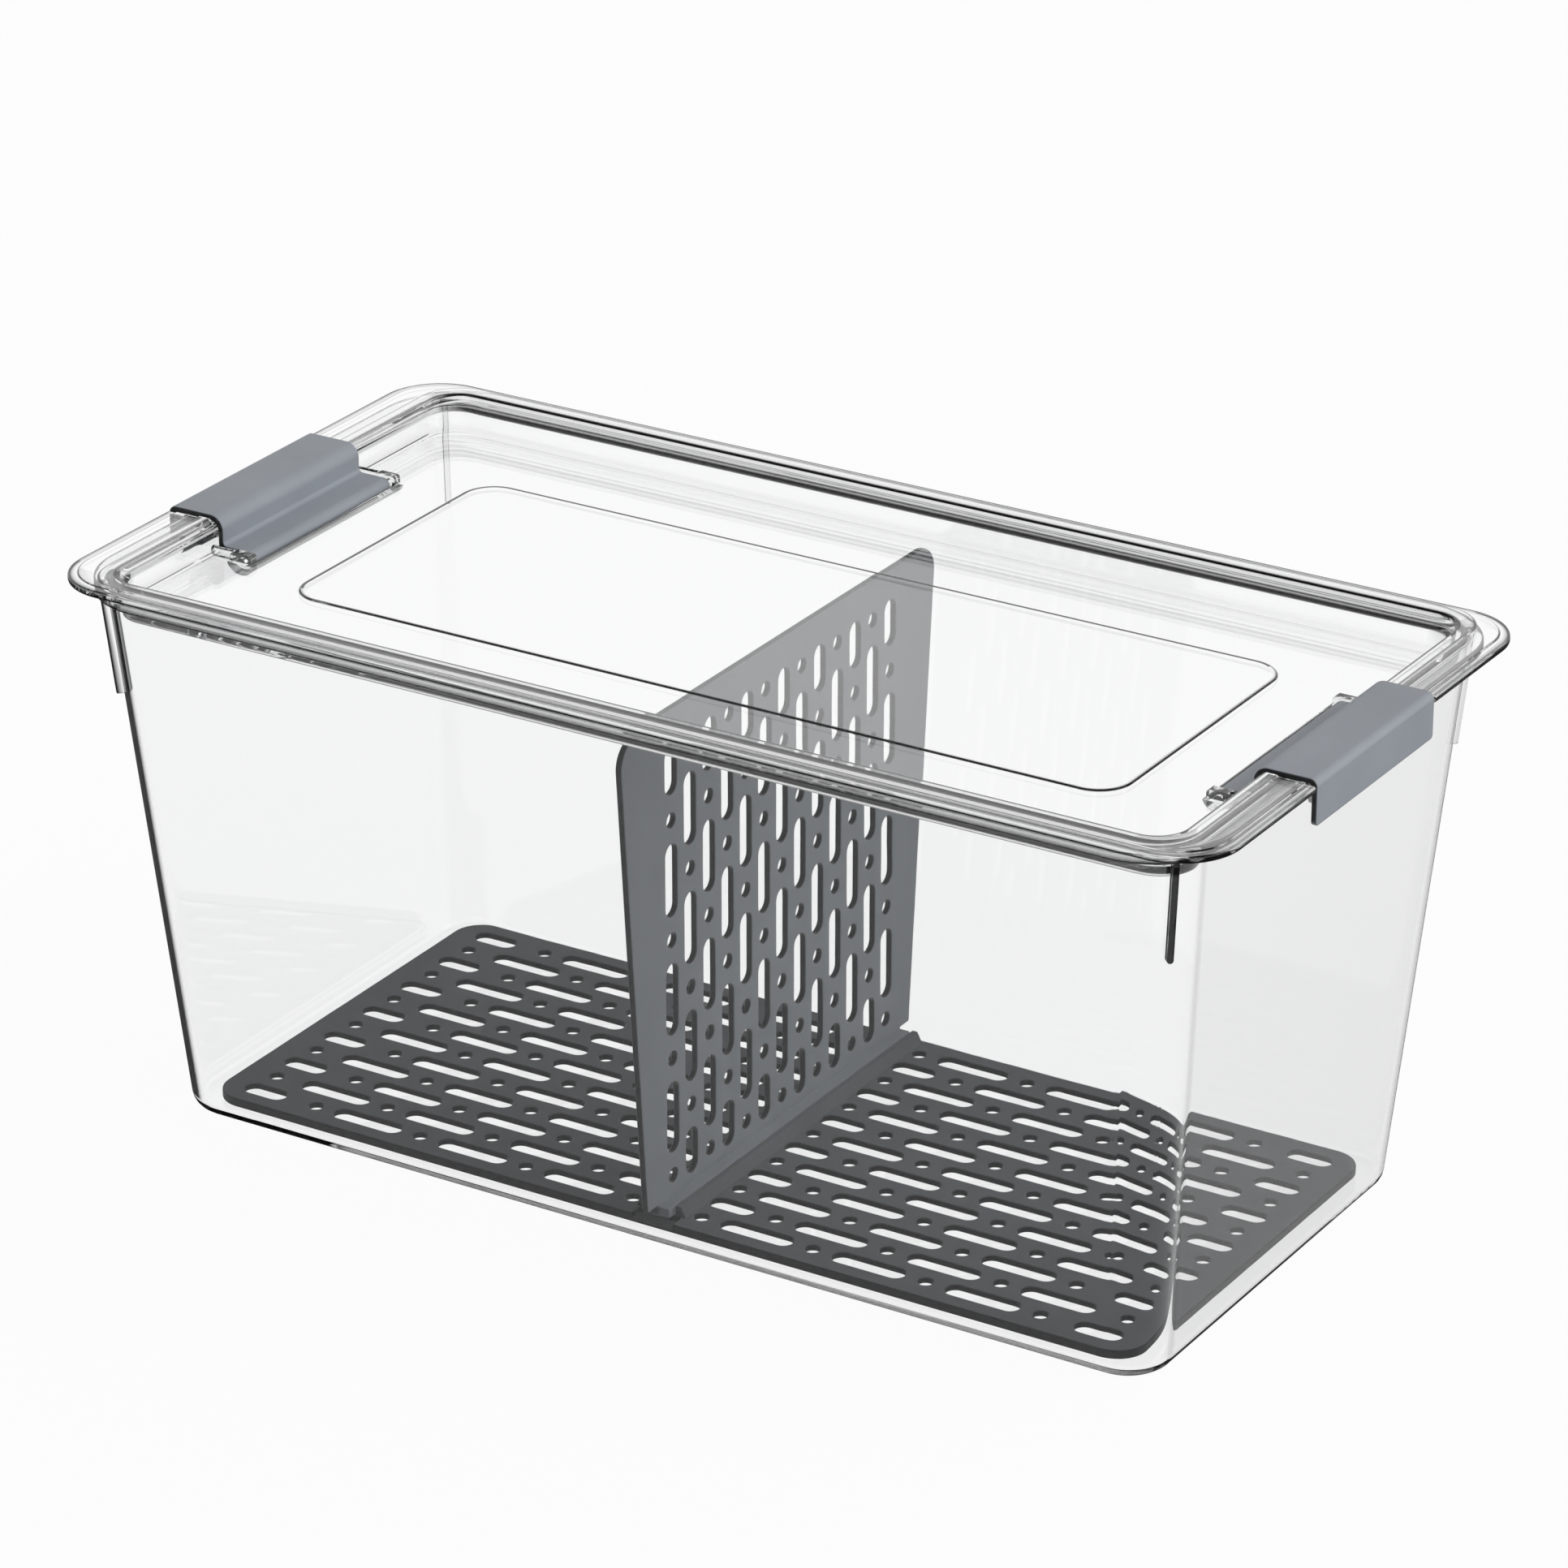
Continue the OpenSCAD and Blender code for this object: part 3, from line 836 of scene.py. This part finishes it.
def hinge_solids(mesh):
    """Trough under the panel, ears and brace ribs beside it, at each end."""
    trough_out = trough_r + trough_t
    root_z = panel_z - OVERLAP
    lift = math.degrees(math.asin(-trough_drop / trough_out))
    for s in (-1, 1):
        outline = circle(s * axis_x, axis_z, trough_out, lift, -180 - 2 * lift)
        prism(mesh, outline, -ear_in - ear_t, ear_in + ear_t, along_y)
        for y in (-1, 1):
            middle = y * (ear_in + ear_t / 2)
            left = s * axis_x - trough_r
            right = s * axis_x + trough_r
            ear = box_outline(left, root_z, right, panel_z + ear_h, ear_round)
            prism(mesh, ear, middle - ear_t / 2, middle + ear_t / 2, along_y)
            top = circle(middle, panel_z + brace_h, brace_r, 0, 180, END_STEPS)
            brace = [(middle + brace_r, root_z)] + top + [(middle - brace_r, root_z)]
            ends = sorted((s * (axis_x + trough_r - brace_in), s * (well_l + well_t / 2)))
            prism(mesh, brace, *ends, along_x)


def clip_room(mesh):
    """Room for the closed clips: saddle for the plate, gate for the leg, chamfer under the bend."""
    bend_x = riser_x - clip_t + bend_r
    bend_z = total_h - bend_r
    near = bend_r - clip_t - bend_gap
    for s in (-1, 1):
        inner = s * (well_l - saddle_in)
        saddle = box_outline(inner, saddle_z, s * (well_l + room_reach), ridge_z + room_reach)
        prism(mesh, saddle, -gate_half, gate_half, along_y)
        low = lid_under_z - room_reach
        gate = box_outline(s * gate_x, low, s * (gate_x + room_reach), saddle_z + OVERLAP)
        prism(mesh, gate, -gate_half, gate_half, along_y)
        wedge = []
        for along, out in ((-bend_r, near), (bend_r, near), (0, near + bend_r)):
            x = bend_x + (along - out) * DIAGONAL
            z = bend_z + (along + out) * DIAGONAL
            wedge.append((s * x, z))
        prism(mesh, wedge, -gate_half + wedge_in, gate_half - wedge_in, along_y)


def hinge_bores(mesh):
    """Bore of each trough and of the ears beside it."""
    for s in (-1, 1):
        prism(mesh, circle(s * axis_x, axis_z, trough_r), -ear_in, ear_in, along_y)
        bore = ear_in + ear_t - ear_cover
        prism(mesh, circle(s * axis_x, axis_z, pin_r + pin_gap, steps=PIN_STEPS), -bore, bore, along_y)


def lid_edge_shade(vertex):
    """Painted shade on the dark edges of the lid: outer edge, step of the ridge, flared lip and line round
    the raised middle.
    """
    x, y, z = vertex.co / MM
    outer = depth_in(x, y, half_l, half_w, lid_r)
    if outer < lid_round + NEAR:
        return outer_edge_shade(x, y) * float(z < lid_under_z + lid_round + NEAR)
    if STEP_ZONE[0] < outer - band_w < STEP_ZONE[1] and z > ridge_z - band_drop - NEAR:
        return FRONT_STEP if y < -half_w + lid_r else OTHER_STEP
    behind = backward(y, well_w, well_r)
    lip = depth_in(x, y, lip_l, lip_w, lip_r)
    if LIP_ZONE[0] < lip < LIP_ZONE[1] and z > ridge_z - LIP_DEPTH:
        return LIP_EDGE + (1 - LIP_EDGE) * max(behind, 0)
    well = depth_in(x, y, well_l, well_w, well_r)
    if FLARE_ZONE[0] < well < FLARE_ZONE[1] and abs(z - ridge_z + flare_h) < FLARE_DEPTH:
        return LIP_EDGE + (1 - LIP_EDGE) * behind
    step = depth_in(x, y, raised_l, raised_w, raised_r)
    if step > raised_band + NEAR or z < panel_z + NEAR:
        return 0.0
    if y < -raised_w + raised_r / 2:
        return FRONT_LINE * bend(vertex)
    return RIGHT_LINE * bend(vertex) if x > raised_l - raised_r / 2 else float(step > -1)


lid_piece = make_object("lid_shell", lid_shell())
for build, operation in ((hinge_solids, "UNION"), (clip_room, "DIFFERENCE"), (hinge_bores, "DIFFERENCE")):
    tool_mesh = bmesh.new()
    build(tool_mesh)
    combine(lid_piece, tool_mesh, operation)
# Masks of the painted shade on the lid's rounds and edges
mark(lid_piece, "bend", bend)
mark(lid_piece, "edge", lid_edge_shade)
shade(lid_piece)
dress(lid_piece, clear_lid, "lid", "lid")


# Clips

def clip_outline():
    """Side profile of the right clip: barrel, foot, riser, bend, top plate and leg."""
    top = axis_z + barrel_r
    sheet = [
        ((axis_x, top), 0),
        ((riser_x - clip_t, top), clip_foot_r),
        ((riser_x - clip_t, total_h), bend_r),
        ((half_l, total_h), edge_r),
        ((half_l, leg_z), leg_outer_r),
        ((half_l - clip_t, leg_z), leg_inner_r),
        ((half_l - clip_t, total_h - clip_t), edge_r - clip_t),
        ((riser_x, total_h - clip_t), bend_r - clip_t),
        ((riser_x, foot_z), clip_foot_inner_r),
        ((axis_x + barrel_r, foot_z), 0),
    ]
    start = math.degrees(math.asin((foot_z - axis_z) / barrel_r))
    spare_degrees = 2
    barrel = circle(axis_x, axis_z, barrel_r, start, -270 - start + spare_degrees, BARREL_STEPS)
    return [tuple(p) for p in rounded_path(sheet, steps=CLIP_STEPS)[:-1]] + barrel[:-1]


def clip_trim(side):
    """What is cut off the leg's lower corners to round them."""
    mesh = bmesh.new()
    top = leg_z + leg_corner
    low = leg_z - OVERLAP
    angles = [math.pi / 2 * k / TRIM_STEPS for k in range(TRIM_STEPS + 1)]
    ends = sorted((side * (lip_x - OVERLAP), side * (half_l + OVERLAP)))
    for y in (-1, 1):
        end = y * (clip_half + OVERLAP)
        inner = y * (clip_half - leg_corner)
        arc = [(inner + y * leg_corner * math.cos(a), top - leg_corner * math.sin(a)) for a in angles]
        prism(mesh, [(end, top)] + arc + [(inner, low), (end, low)], *ends, along_x)
    return mesh


def clip_lip_and_pins(side):
    """Lip inside the leg, set back from its ends, and the two hinge pins."""
    mesh = bmesh.new()
    root = half_l - clip_t / 2
    lip = box_outline(side * lip_x, leg_z, side * root, leg_z + lip_h, lip_edge_r)
    prism(mesh, lip, lip_in - clip_half, clip_half - lip_in, along_y, lip_end_round)
    for y in (-1, 1):
        ends = sorted((y * (clip_half - OVERLAP), y * clip_high.y))
        pin = circle(side * axis_x, axis_z, pin_r, steps=PIN_STEPS)
        prism(mesh, pin, *ends, along_y, pin_end_round)
    return mesh


def clip_end(vertex):
    """Mask of painted shade: 1 on the flat ends of a clip, 0 elsewhere."""
    return min(max((abs(vertex.co.y) / MM - clip_half) / clip_end_round + 1, 0), 1)


def clip_piece(name, side):
    """One clip with soft edges, rounded leg corners, its lip and its two pins."""
    mesh = bmesh.new()
    outline = [(side * x, z) for x, z in clip_outline()]
    prism(mesh, outline, -clip_half, clip_half, along_y, clip_end_round)
    piece = make_object(name, mesh)
    combine(piece, clip_trim(side), "DIFFERENCE")
    combine(piece, clip_lip_and_pins(side), "UNION")
    # Painted shade on the clip's flat ends
    mark(piece, "side", clip_end)
    shade(piece)
    return piece


for name, side in (("left_clip", -1), ("right_clip", 1)):
    clip = clip_piece(name + "_sheet", side)
    dress(clip, clip_grey, name, name)


# Drain tray and divider

def slot_outline(x, y, length, width, upright=False):
    """Slot with round ends about a middle point, lying along the first axis or the second."""
    reach = (length - width) / 2
    points = circle(reach, 0, width / 2, -90, 180, END_STEPS)
    points += circle(-reach, 0, width / 2, 90, 180, END_STEPS)
    return [(x - v, y + u) if upright else (x + u, y + v) for u, v in points]


def pierced_plate(name, outline, holes, thickness, edge):
    """Flat plate with holes and rounded edges, its middle plane at height 0, as a mesh in millimetres."""
    curve = bpy.data.curves.new(name, "CURVE")
    curve.dimensions = "2D"
    curve.fill_mode = "BOTH"
    curve.extrude = thickness / 2 - edge
    curve.bevel_depth = edge
    curve.bevel_resolution = BEVEL_STEPS
    curve.offset = -edge
    for path in [outline] + holes:
        spline = curve.splines.new("POLY")
        spline.points.add(len(path) - 1)
        for point, (u, v) in zip(spline.points, path):
            point.co = (u, v, 0, 1)
        spline.use_cyclic_u = True
    holder = bpy.data.objects.new(name, curve)
    bpy.context.scene.collection.objects.link(holder)
    graph = bpy.context.evaluated_depsgraph_get()
    data = bpy.data.meshes.new_from_object(holder.evaluated_get(graph))
    mesh = bmesh.new()
    mesh.from_mesh(data)
    bmesh.ops.remove_doubles(mesh, verts=mesh.verts, dist=WELD)
    bmesh.ops.recalc_face_normals(mesh, faces=mesh.faces)
    bpy.data.objects.remove(holder)
    bpy.data.curves.remove(curve)
    bpy.data.meshes.remove(data)
    return mesh


def tray_holes():
    """Rows of round holes and slots, alternate rows shifted by half a pitch, mirrored about the middle."""
    holes = []
    for row in range(-rows, rows + 1):
        y = row * tray_row
        odd = row % 2 != 0
        shift = tray_pitch / 2 if odd else 0
        dots = [first_hole + shift + k * tray_pitch for k in range(pitches if odd else pitches + 1)]
        slots = [(first_hole + tray_pitch / 2 + shift + k * tray_pitch, tray_slot) for k in range(pitches)]
        slots.append((first_hole + short_in if odd else tray_l - short_end, short_slot))
        if odd:
            dots.append(tray_l - dot_end)
        for side in (-1, 1):
            holes += [circle(side * x, y, dot_d / 2, steps=DOT_STEPS) for x in dots]
            holes += [slot_outline(side * x, y, length, slot_w) for x, length in slots]
    return holes


def tray_rim():
    """Rim under the edge of the tray, lower and broader where the plate is notched."""
    rim_top = tray_z - plate_edge
    profile = [
        ((tray_l, tray_w, tray_r, floor_t), rim_foot_round),
        ((tray_l, tray_w, tray_r, rim_top), rim_top_round),
        ((tray_l - rim_t, tray_w - rim_t, tray_r - rim_t, rim_top), rim_top_round),
        ((tray_l - rim_t, tray_w - rim_t, tray_r - rim_t, floor_t), rim_foot_round),
    ]
    path = rounded_path(profile, plane=(0, 3), closed=True, steps=RIM_STEPS)
    rim = make_object("tray_rim", loft(path, closed=True))
    notch = bmesh.new()
    room = box_outline(-notch_w / 2, -tray_w - notch_d, notch_w / 2, -tray_w + notch_d)
    prism(notch, room, tray_z - tray_t, tray_z + tray_t, along_z)
    sill = bmesh.new()
    half_s = notch_w / 2 + rim_t
    block = box_outline(-half_s, -tray_w + rim_t / 2, half_s, -tray_w + notch_d + rim_t)
    prism(sill, block, floor_t, rim_top, along_z)
    combine(rim, sill, "UNION")
    combine(rim, notch, "DIFFERENCE")
    return rim


def cut_side_shade(height, thickness):
    """Mask of painted shade: 1 on the cut sides of a plate, 0 on its faces; height counts from its middle.
    """
    return min(max((thickness / 2 - abs(height)) / plate_edge, 0), 1)


def tray_side_shade(vertex):
    """Painted shade on the cut sides of the tray's plate and, weaker, on the outside of its rim."""
    x, y, z = vertex.co / MM
    near_side = 0.2
    below_top = 0.1
    if depth_in(x, y, tray_l, tray_w, tray_r) < near_side and z < tray_z - below_top:
        return RIM_OUTSIDE
    return cut_side_shade(z - tray_z + tray_t / 2, tray_t)


def divider_side_shade(vertex):
    """Painted shade on the cut sides of the divider's plate."""
    return cut_side_shade(vertex.co.x / MM, div_t)


def tray_piece():
    """Pierced plate with a notch in front, a rim below and two ribs that hold the divider."""
    half_n = notch_w / 2
    plate_l = tray_l - rim_proud
    plate_w = tray_w - rim_proud
    outline = rounded_path([
        ((plate_l, -plate_w), tray_r), ((plate_l, plate_w), tray_r),
        ((-plate_l, plate_w), tray_r), ((-plate_l, -plate_w), tray_r),
        ((-half_n, -plate_w), notch_r), ((-half_n, -tray_w + notch_d), notch_r),
        ((half_n, -tray_w + notch_d), notch_r), ((half_n, -plate_w), notch_r),
    ], closed=True, steps=END_STEPS)
    mesh = pierced_plate("tray", outline, tray_holes(), tray_t, plate_edge)
    bmesh.ops.translate(mesh, vec=(0, 0, tray_z - tray_t / 2), verts=mesh.verts)
    keeper_x = foot_half_w + foot_gap
    foot = tray_z - tray_t / 2
    for s in (-1, 1):
        points = [
            ((s * keeper_x, foot), 0),
            ((s * (keeper_x + keeper_w + keeper_slope), foot), 0),
            ((s * (keeper_x + keeper_w + keeper_slope), tray_z), 0),
            ((s * (keeper_x + keeper_w), keeper_z), keeper_round),
            ((s * keeper_x, keeper_z), keeper_inner_round),
        ]
        path = rounded_path(points, closed=True)
        prism(mesh, path, -tray_w + notch_d, tray_w - keeper_back, along_y, keeper_end_round)
    bmesh.ops.recalc_face_normals(mesh, faces=mesh.faces)
    plate = make_object("tray_plate", mesh)
    join(plate, tray_rim())
    # Painted shade on the tray's cut sides and rim
    mark(plate, "side", tray_side_shade)
    shade(plate)
    return plate


def divider_holes():
    """Columns of round holes and upright slots, alternate columns shifted by half a pitch."""
    holes = []
    for col in range(-rows, rows + 1):
        y = col * div_col
        odd = col % 2 != 0
        shift = div_pitch / 2 if odd else 0
        dots = [low_hole + shift + k * div_pitch for k in range(pitches if odd else pitches + 1)]
        slots = [(low_hole + div_pitch / 2 + shift + k * div_pitch, div_slot) for k in range(pitches)]
        slots.append((low_hole + short_up if odd else div_top - short_down, short_slot))
        if odd:
            dots.append(div_top - dot_down)
        holes += [circle(y, z, dot_d / 2, steps=DOT_STEPS) for z in dots]
        holes += [slot_outline(y, z, length, slot_w, True) for z, length in slots]
    return holes


def divider_piece():
    """Upright pierced plate with leaning sides and rounded top corners, on a broad foot."""
    outline = rounded_path([
        ((-div_half_low, div_low), div_low_r), ((div_half_low, div_low), div_low_r),
        ((div_half_top, div_top), div_r), ((-div_half_top, div_top), div_r),
    ], closed=True, steps=END_STEPS)
    flat = pierced_plate("divider", outline, divider_holes(), div_t, plate_edge)
    for vertex in flat.verts:
        y, z, x = vertex.co
        vertex.co = (x, y, z)
    foot_half = div_half_low - foot_in
    web = box_outline(-div_t / 2, foot_low, div_t / 2, div_low + OVERLAP)
    prism(flat, web, -foot_half, foot_half, along_y)
    foot = box_outline(-foot_half_w, foot_low, foot_half_w, keeper_z, foot_round)
    prism(flat, foot, -foot_half, foot_half, along_y, foot_round)
    bmesh.ops.recalc_face_normals(flat, faces=flat.faces)
    plate = make_object("divider_plate", flat)
    # Painted shade on the divider's cut sides
    mark(plate, "side", divider_side_shade)
    shade(plate)
    return plate


tray = tray_piece()
divider = divider_piece()
for plate in (tray, divider):
    plate.visible_glossy = False
dress(tray, tray_grey, "drain_tray", "drain_tray")
dress(divider, divider_grey, "divider", "divider")


# Stage: floor, world, lamp and camera
FLOOR_HALF = 8000
FLOOR_DROP = 0.0002
FLOOR_GREY = (0.6, 0.6, 0.6, 1)
FLOOR_WHITE = 0.96
CARD_HALF = 600
CARD_DROP = 0.0001
CARD_GREY = (0.1, 0.1, 0.1, 1)
MATT = 0.9
CEILING_SLOPE = (0.5, 0.68)
CEILING_DARK = 0.04
LIGHT_SIDE = (0.8, 0.5, 0.33)
LIGHT_SLOPE = (-0.3, 0.9)
LIGHT_RANGE = (0.04, 1.35)
BOUNCED = 0.5


def white_floor():
    """Pale floor that reads white to the camera and through the box, and keeps a soft shadow."""
    mesh = bmesh.new()
    bmesh.ops.create_grid(mesh, x_segments=1, y_segments=1, size=FLOOR_HALF)
    floor = make_object("floor", mesh)
    floor.location.z = -FLOOR_DROP
    material, nodes, links, shader = new_material("floor_white")
    shader.inputs["Base Color"].default_value = FLOOR_GREY
    shader.inputs["Roughness"].default_value = MATT
    shader.inputs["Specular IOR Level"].default_value = 0.0
    path = nodes.new("ShaderNodeLightPath")
    seen = nodes.new("ShaderNodeMath")
    seen.operation = "MAXIMUM"
    through = nodes.new("ShaderNodeMath")
    through.operation = "MAXIMUM"
    direct = nodes.new("ShaderNodeMath")
    direct.operation = "LESS_THAN"
    direct.inputs[1].default_value = BOUNCED
    share = nodes.new("ShaderNodeMath")
    share.operation = "MULTIPLY"
    white = nodes.new("ShaderNodeMath")
    white.operation = "MULTIPLY"
    white.inputs[1].default_value = FLOOR_WHITE
    glow = nodes.new("ShaderNodeEmission")
    mix = nodes.new("ShaderNodeMixShader")
    links.new(path.outputs["Is Camera Ray"], seen.inputs[0])
    links.new(path.outputs["Is Glossy Ray"], seen.inputs[1])
    links.new(seen.outputs["Value"], through.inputs[0])
    links.new(path.outputs["Is Transmission Ray"], through.inputs[1])
    links.new(path.outputs["Diffuse Depth"], direct.inputs[0])
    links.new(through.outputs["Value"], share.inputs[0])
    links.new(direct.outputs["Value"], share.inputs[1])
    links.new(share.outputs["Value"], white.inputs[0])
    links.new(white.outputs["Value"], mix.inputs["Fac"])
    links.new(shader.outputs["BSDF"], mix.inputs[1])
    links.new(glow.outputs["Emission"], mix.inputs[2])
    links.new(mix.outputs["Shader"], nodes["Material Output"].inputs["Surface"])
    floor.data.materials.append(material)


def gloss_card():
    """Dark card round the box that only gloss sees, so that the clear walls mirror no white floor."""
    mesh = bmesh.new()
    bmesh.ops.create_grid(mesh, x_segments=1, y_segments=1, size=CARD_HALF)
    card = make_object("card", mesh)
    card.location.z = -CARD_DROP
    material, _, _, shader = new_material("card_dark")
    shader.inputs["Base Color"].default_value = CARD_GREY
    shader.inputs["Roughness"].default_value = MATT
    card.data.materials.append(material)
    card.visible_camera = False
    card.visible_diffuse = False
    card.visible_transmission = False
    card.visible_shadow = False


def studio_world():
    """White horizon under a dark ceiling to be seen, and soft light from the right to light by."""
    world = bpy.data.worlds.new("studio")
    bpy.context.scene.world = world
    world.use_nodes = True
    nodes = world.node_tree.nodes
    links = world.node_tree.links
    coords = nodes.new("ShaderNodeTexCoord")
    split = nodes.new("ShaderNodeSeparateXYZ")
    ceiling = nodes.new("ShaderNodeMapRange")
    ceiling.interpolation_type = "SMOOTHSTEP"
    ceiling.inputs["From Min"].default_value = CEILING_SLOPE[0]
    ceiling.inputs["From Max"].default_value = CEILING_SLOPE[1]
    ceiling.inputs["To Min"].default_value = 1.0
    ceiling.inputs["To Max"].default_value = CEILING_DARK
    path = nodes.new("ShaderNodeLightPath")
    seen = nodes.new("ShaderNodeMath")
    seen.operation = "MAXIMUM"
    side = nodes.new("ShaderNodeVectorMath")
    side.operation = "DOT_PRODUCT"
    side.inputs[1].default_value = LIGHT_SIDE
    glow = nodes.new("ShaderNodeMapRange")
    glow.interpolation_type = "SMOOTHSTEP"
    glow.inputs["From Min"].default_value = LIGHT_SLOPE[0]
    glow.inputs["From Max"].default_value = LIGHT_SLOPE[1]
    glow.inputs["To Min"].default_value = LIGHT_RANGE[0]
    glow.inputs["To Max"].default_value = LIGHT_RANGE[1]
    lit = nodes.new("ShaderNodeMath")
    lit.operation = "GREATER_THAN"
    lit.inputs[1].default_value = BOUNCED
    mix = nodes.new("ShaderNodeMix")
    links.new(coords.outputs["Generated"], split.inputs["Vector"])
    links.new(coords.outputs["Generated"], side.inputs[0])
    links.new(split.outputs["Z"], ceiling.inputs["Value"])
    links.new(side.outputs["Value"], glow.inputs["Value"])
    links.new(path.outputs["Is Camera Ray"], seen.inputs[0])
    links.new(ceiling.outputs["Result"], seen.inputs[1])
    links.new(path.outputs["Diffuse Depth"], lit.inputs[0])
    links.new(lit.outputs["Value"], mix.inputs["Factor"])
    links.new(seen.outputs["Value"], mix.inputs["A"])
    links.new(glow.outputs["Result"], mix.inputs["B"])
    links.new(mix.outputs["Result"], nodes["Background"].inputs["Strength"])
    nodes["Background"].inputs["Color"].default_value = (1, 1, 1, 1)


def softbox(name, place, target, width, height, watts):
    """Rectangular soft lamp that looks at a point."""
    lamp = bpy.data.lights.new(name, "AREA")
    lamp.shape = "RECTANGLE"
    lamp.size = width
    lamp.size_y = height
    lamp.energy = watts
    holder = bpy.data.objects.new(name, lamp)
    bpy.context.scene.collection.objects.link(holder)
    holder.location = place
    holder.rotation_euler = (Vector(target) - Vector(place)).to_track_quat("-Z", "Y").to_euler()


def photo_camera():
    """Camera at the photograph's place, found by fitting the box's edges."""
    camera = bpy.data.cameras.new("camera")
    camera.sensor_width = 36
    camera.lens = 156.15
    camera.clip_end = 50
    holder = bpy.data.objects.new("camera", camera)
    bpy.context.scene.collection.objects.link(holder)
    yaw = math.radians(31.51)
    pitch = math.radians(24.13)
    distance = 1.582
    target = Vector((0.0469, -0.0752, 0.1383))
    forward = Vector((-math.sin(yaw) * math.cos(pitch), math.cos(yaw) * math.cos(pitch), -math.sin(pitch)))
    holder.location = target - forward * distance
    holder.rotation_euler = forward.to_track_quat("-Z", "Y").to_euler()
    bpy.context.scene.camera = holder


white_floor()
gloss_card()
studio_world()
softbox("key", place=(1.5, 0.5, 0.9), target=(0, 0, 0.08), width=1.2, height=0.8, watts=4)
photo_camera()
bpy.context.scene.view_settings.view_transform = "Standard"
bpy.context.scene.cycles.max_bounces = 32
bpy.context.scene.cycles.glossy_bounces = 16
bpy.context.scene.cycles.transmission_bounces = 32
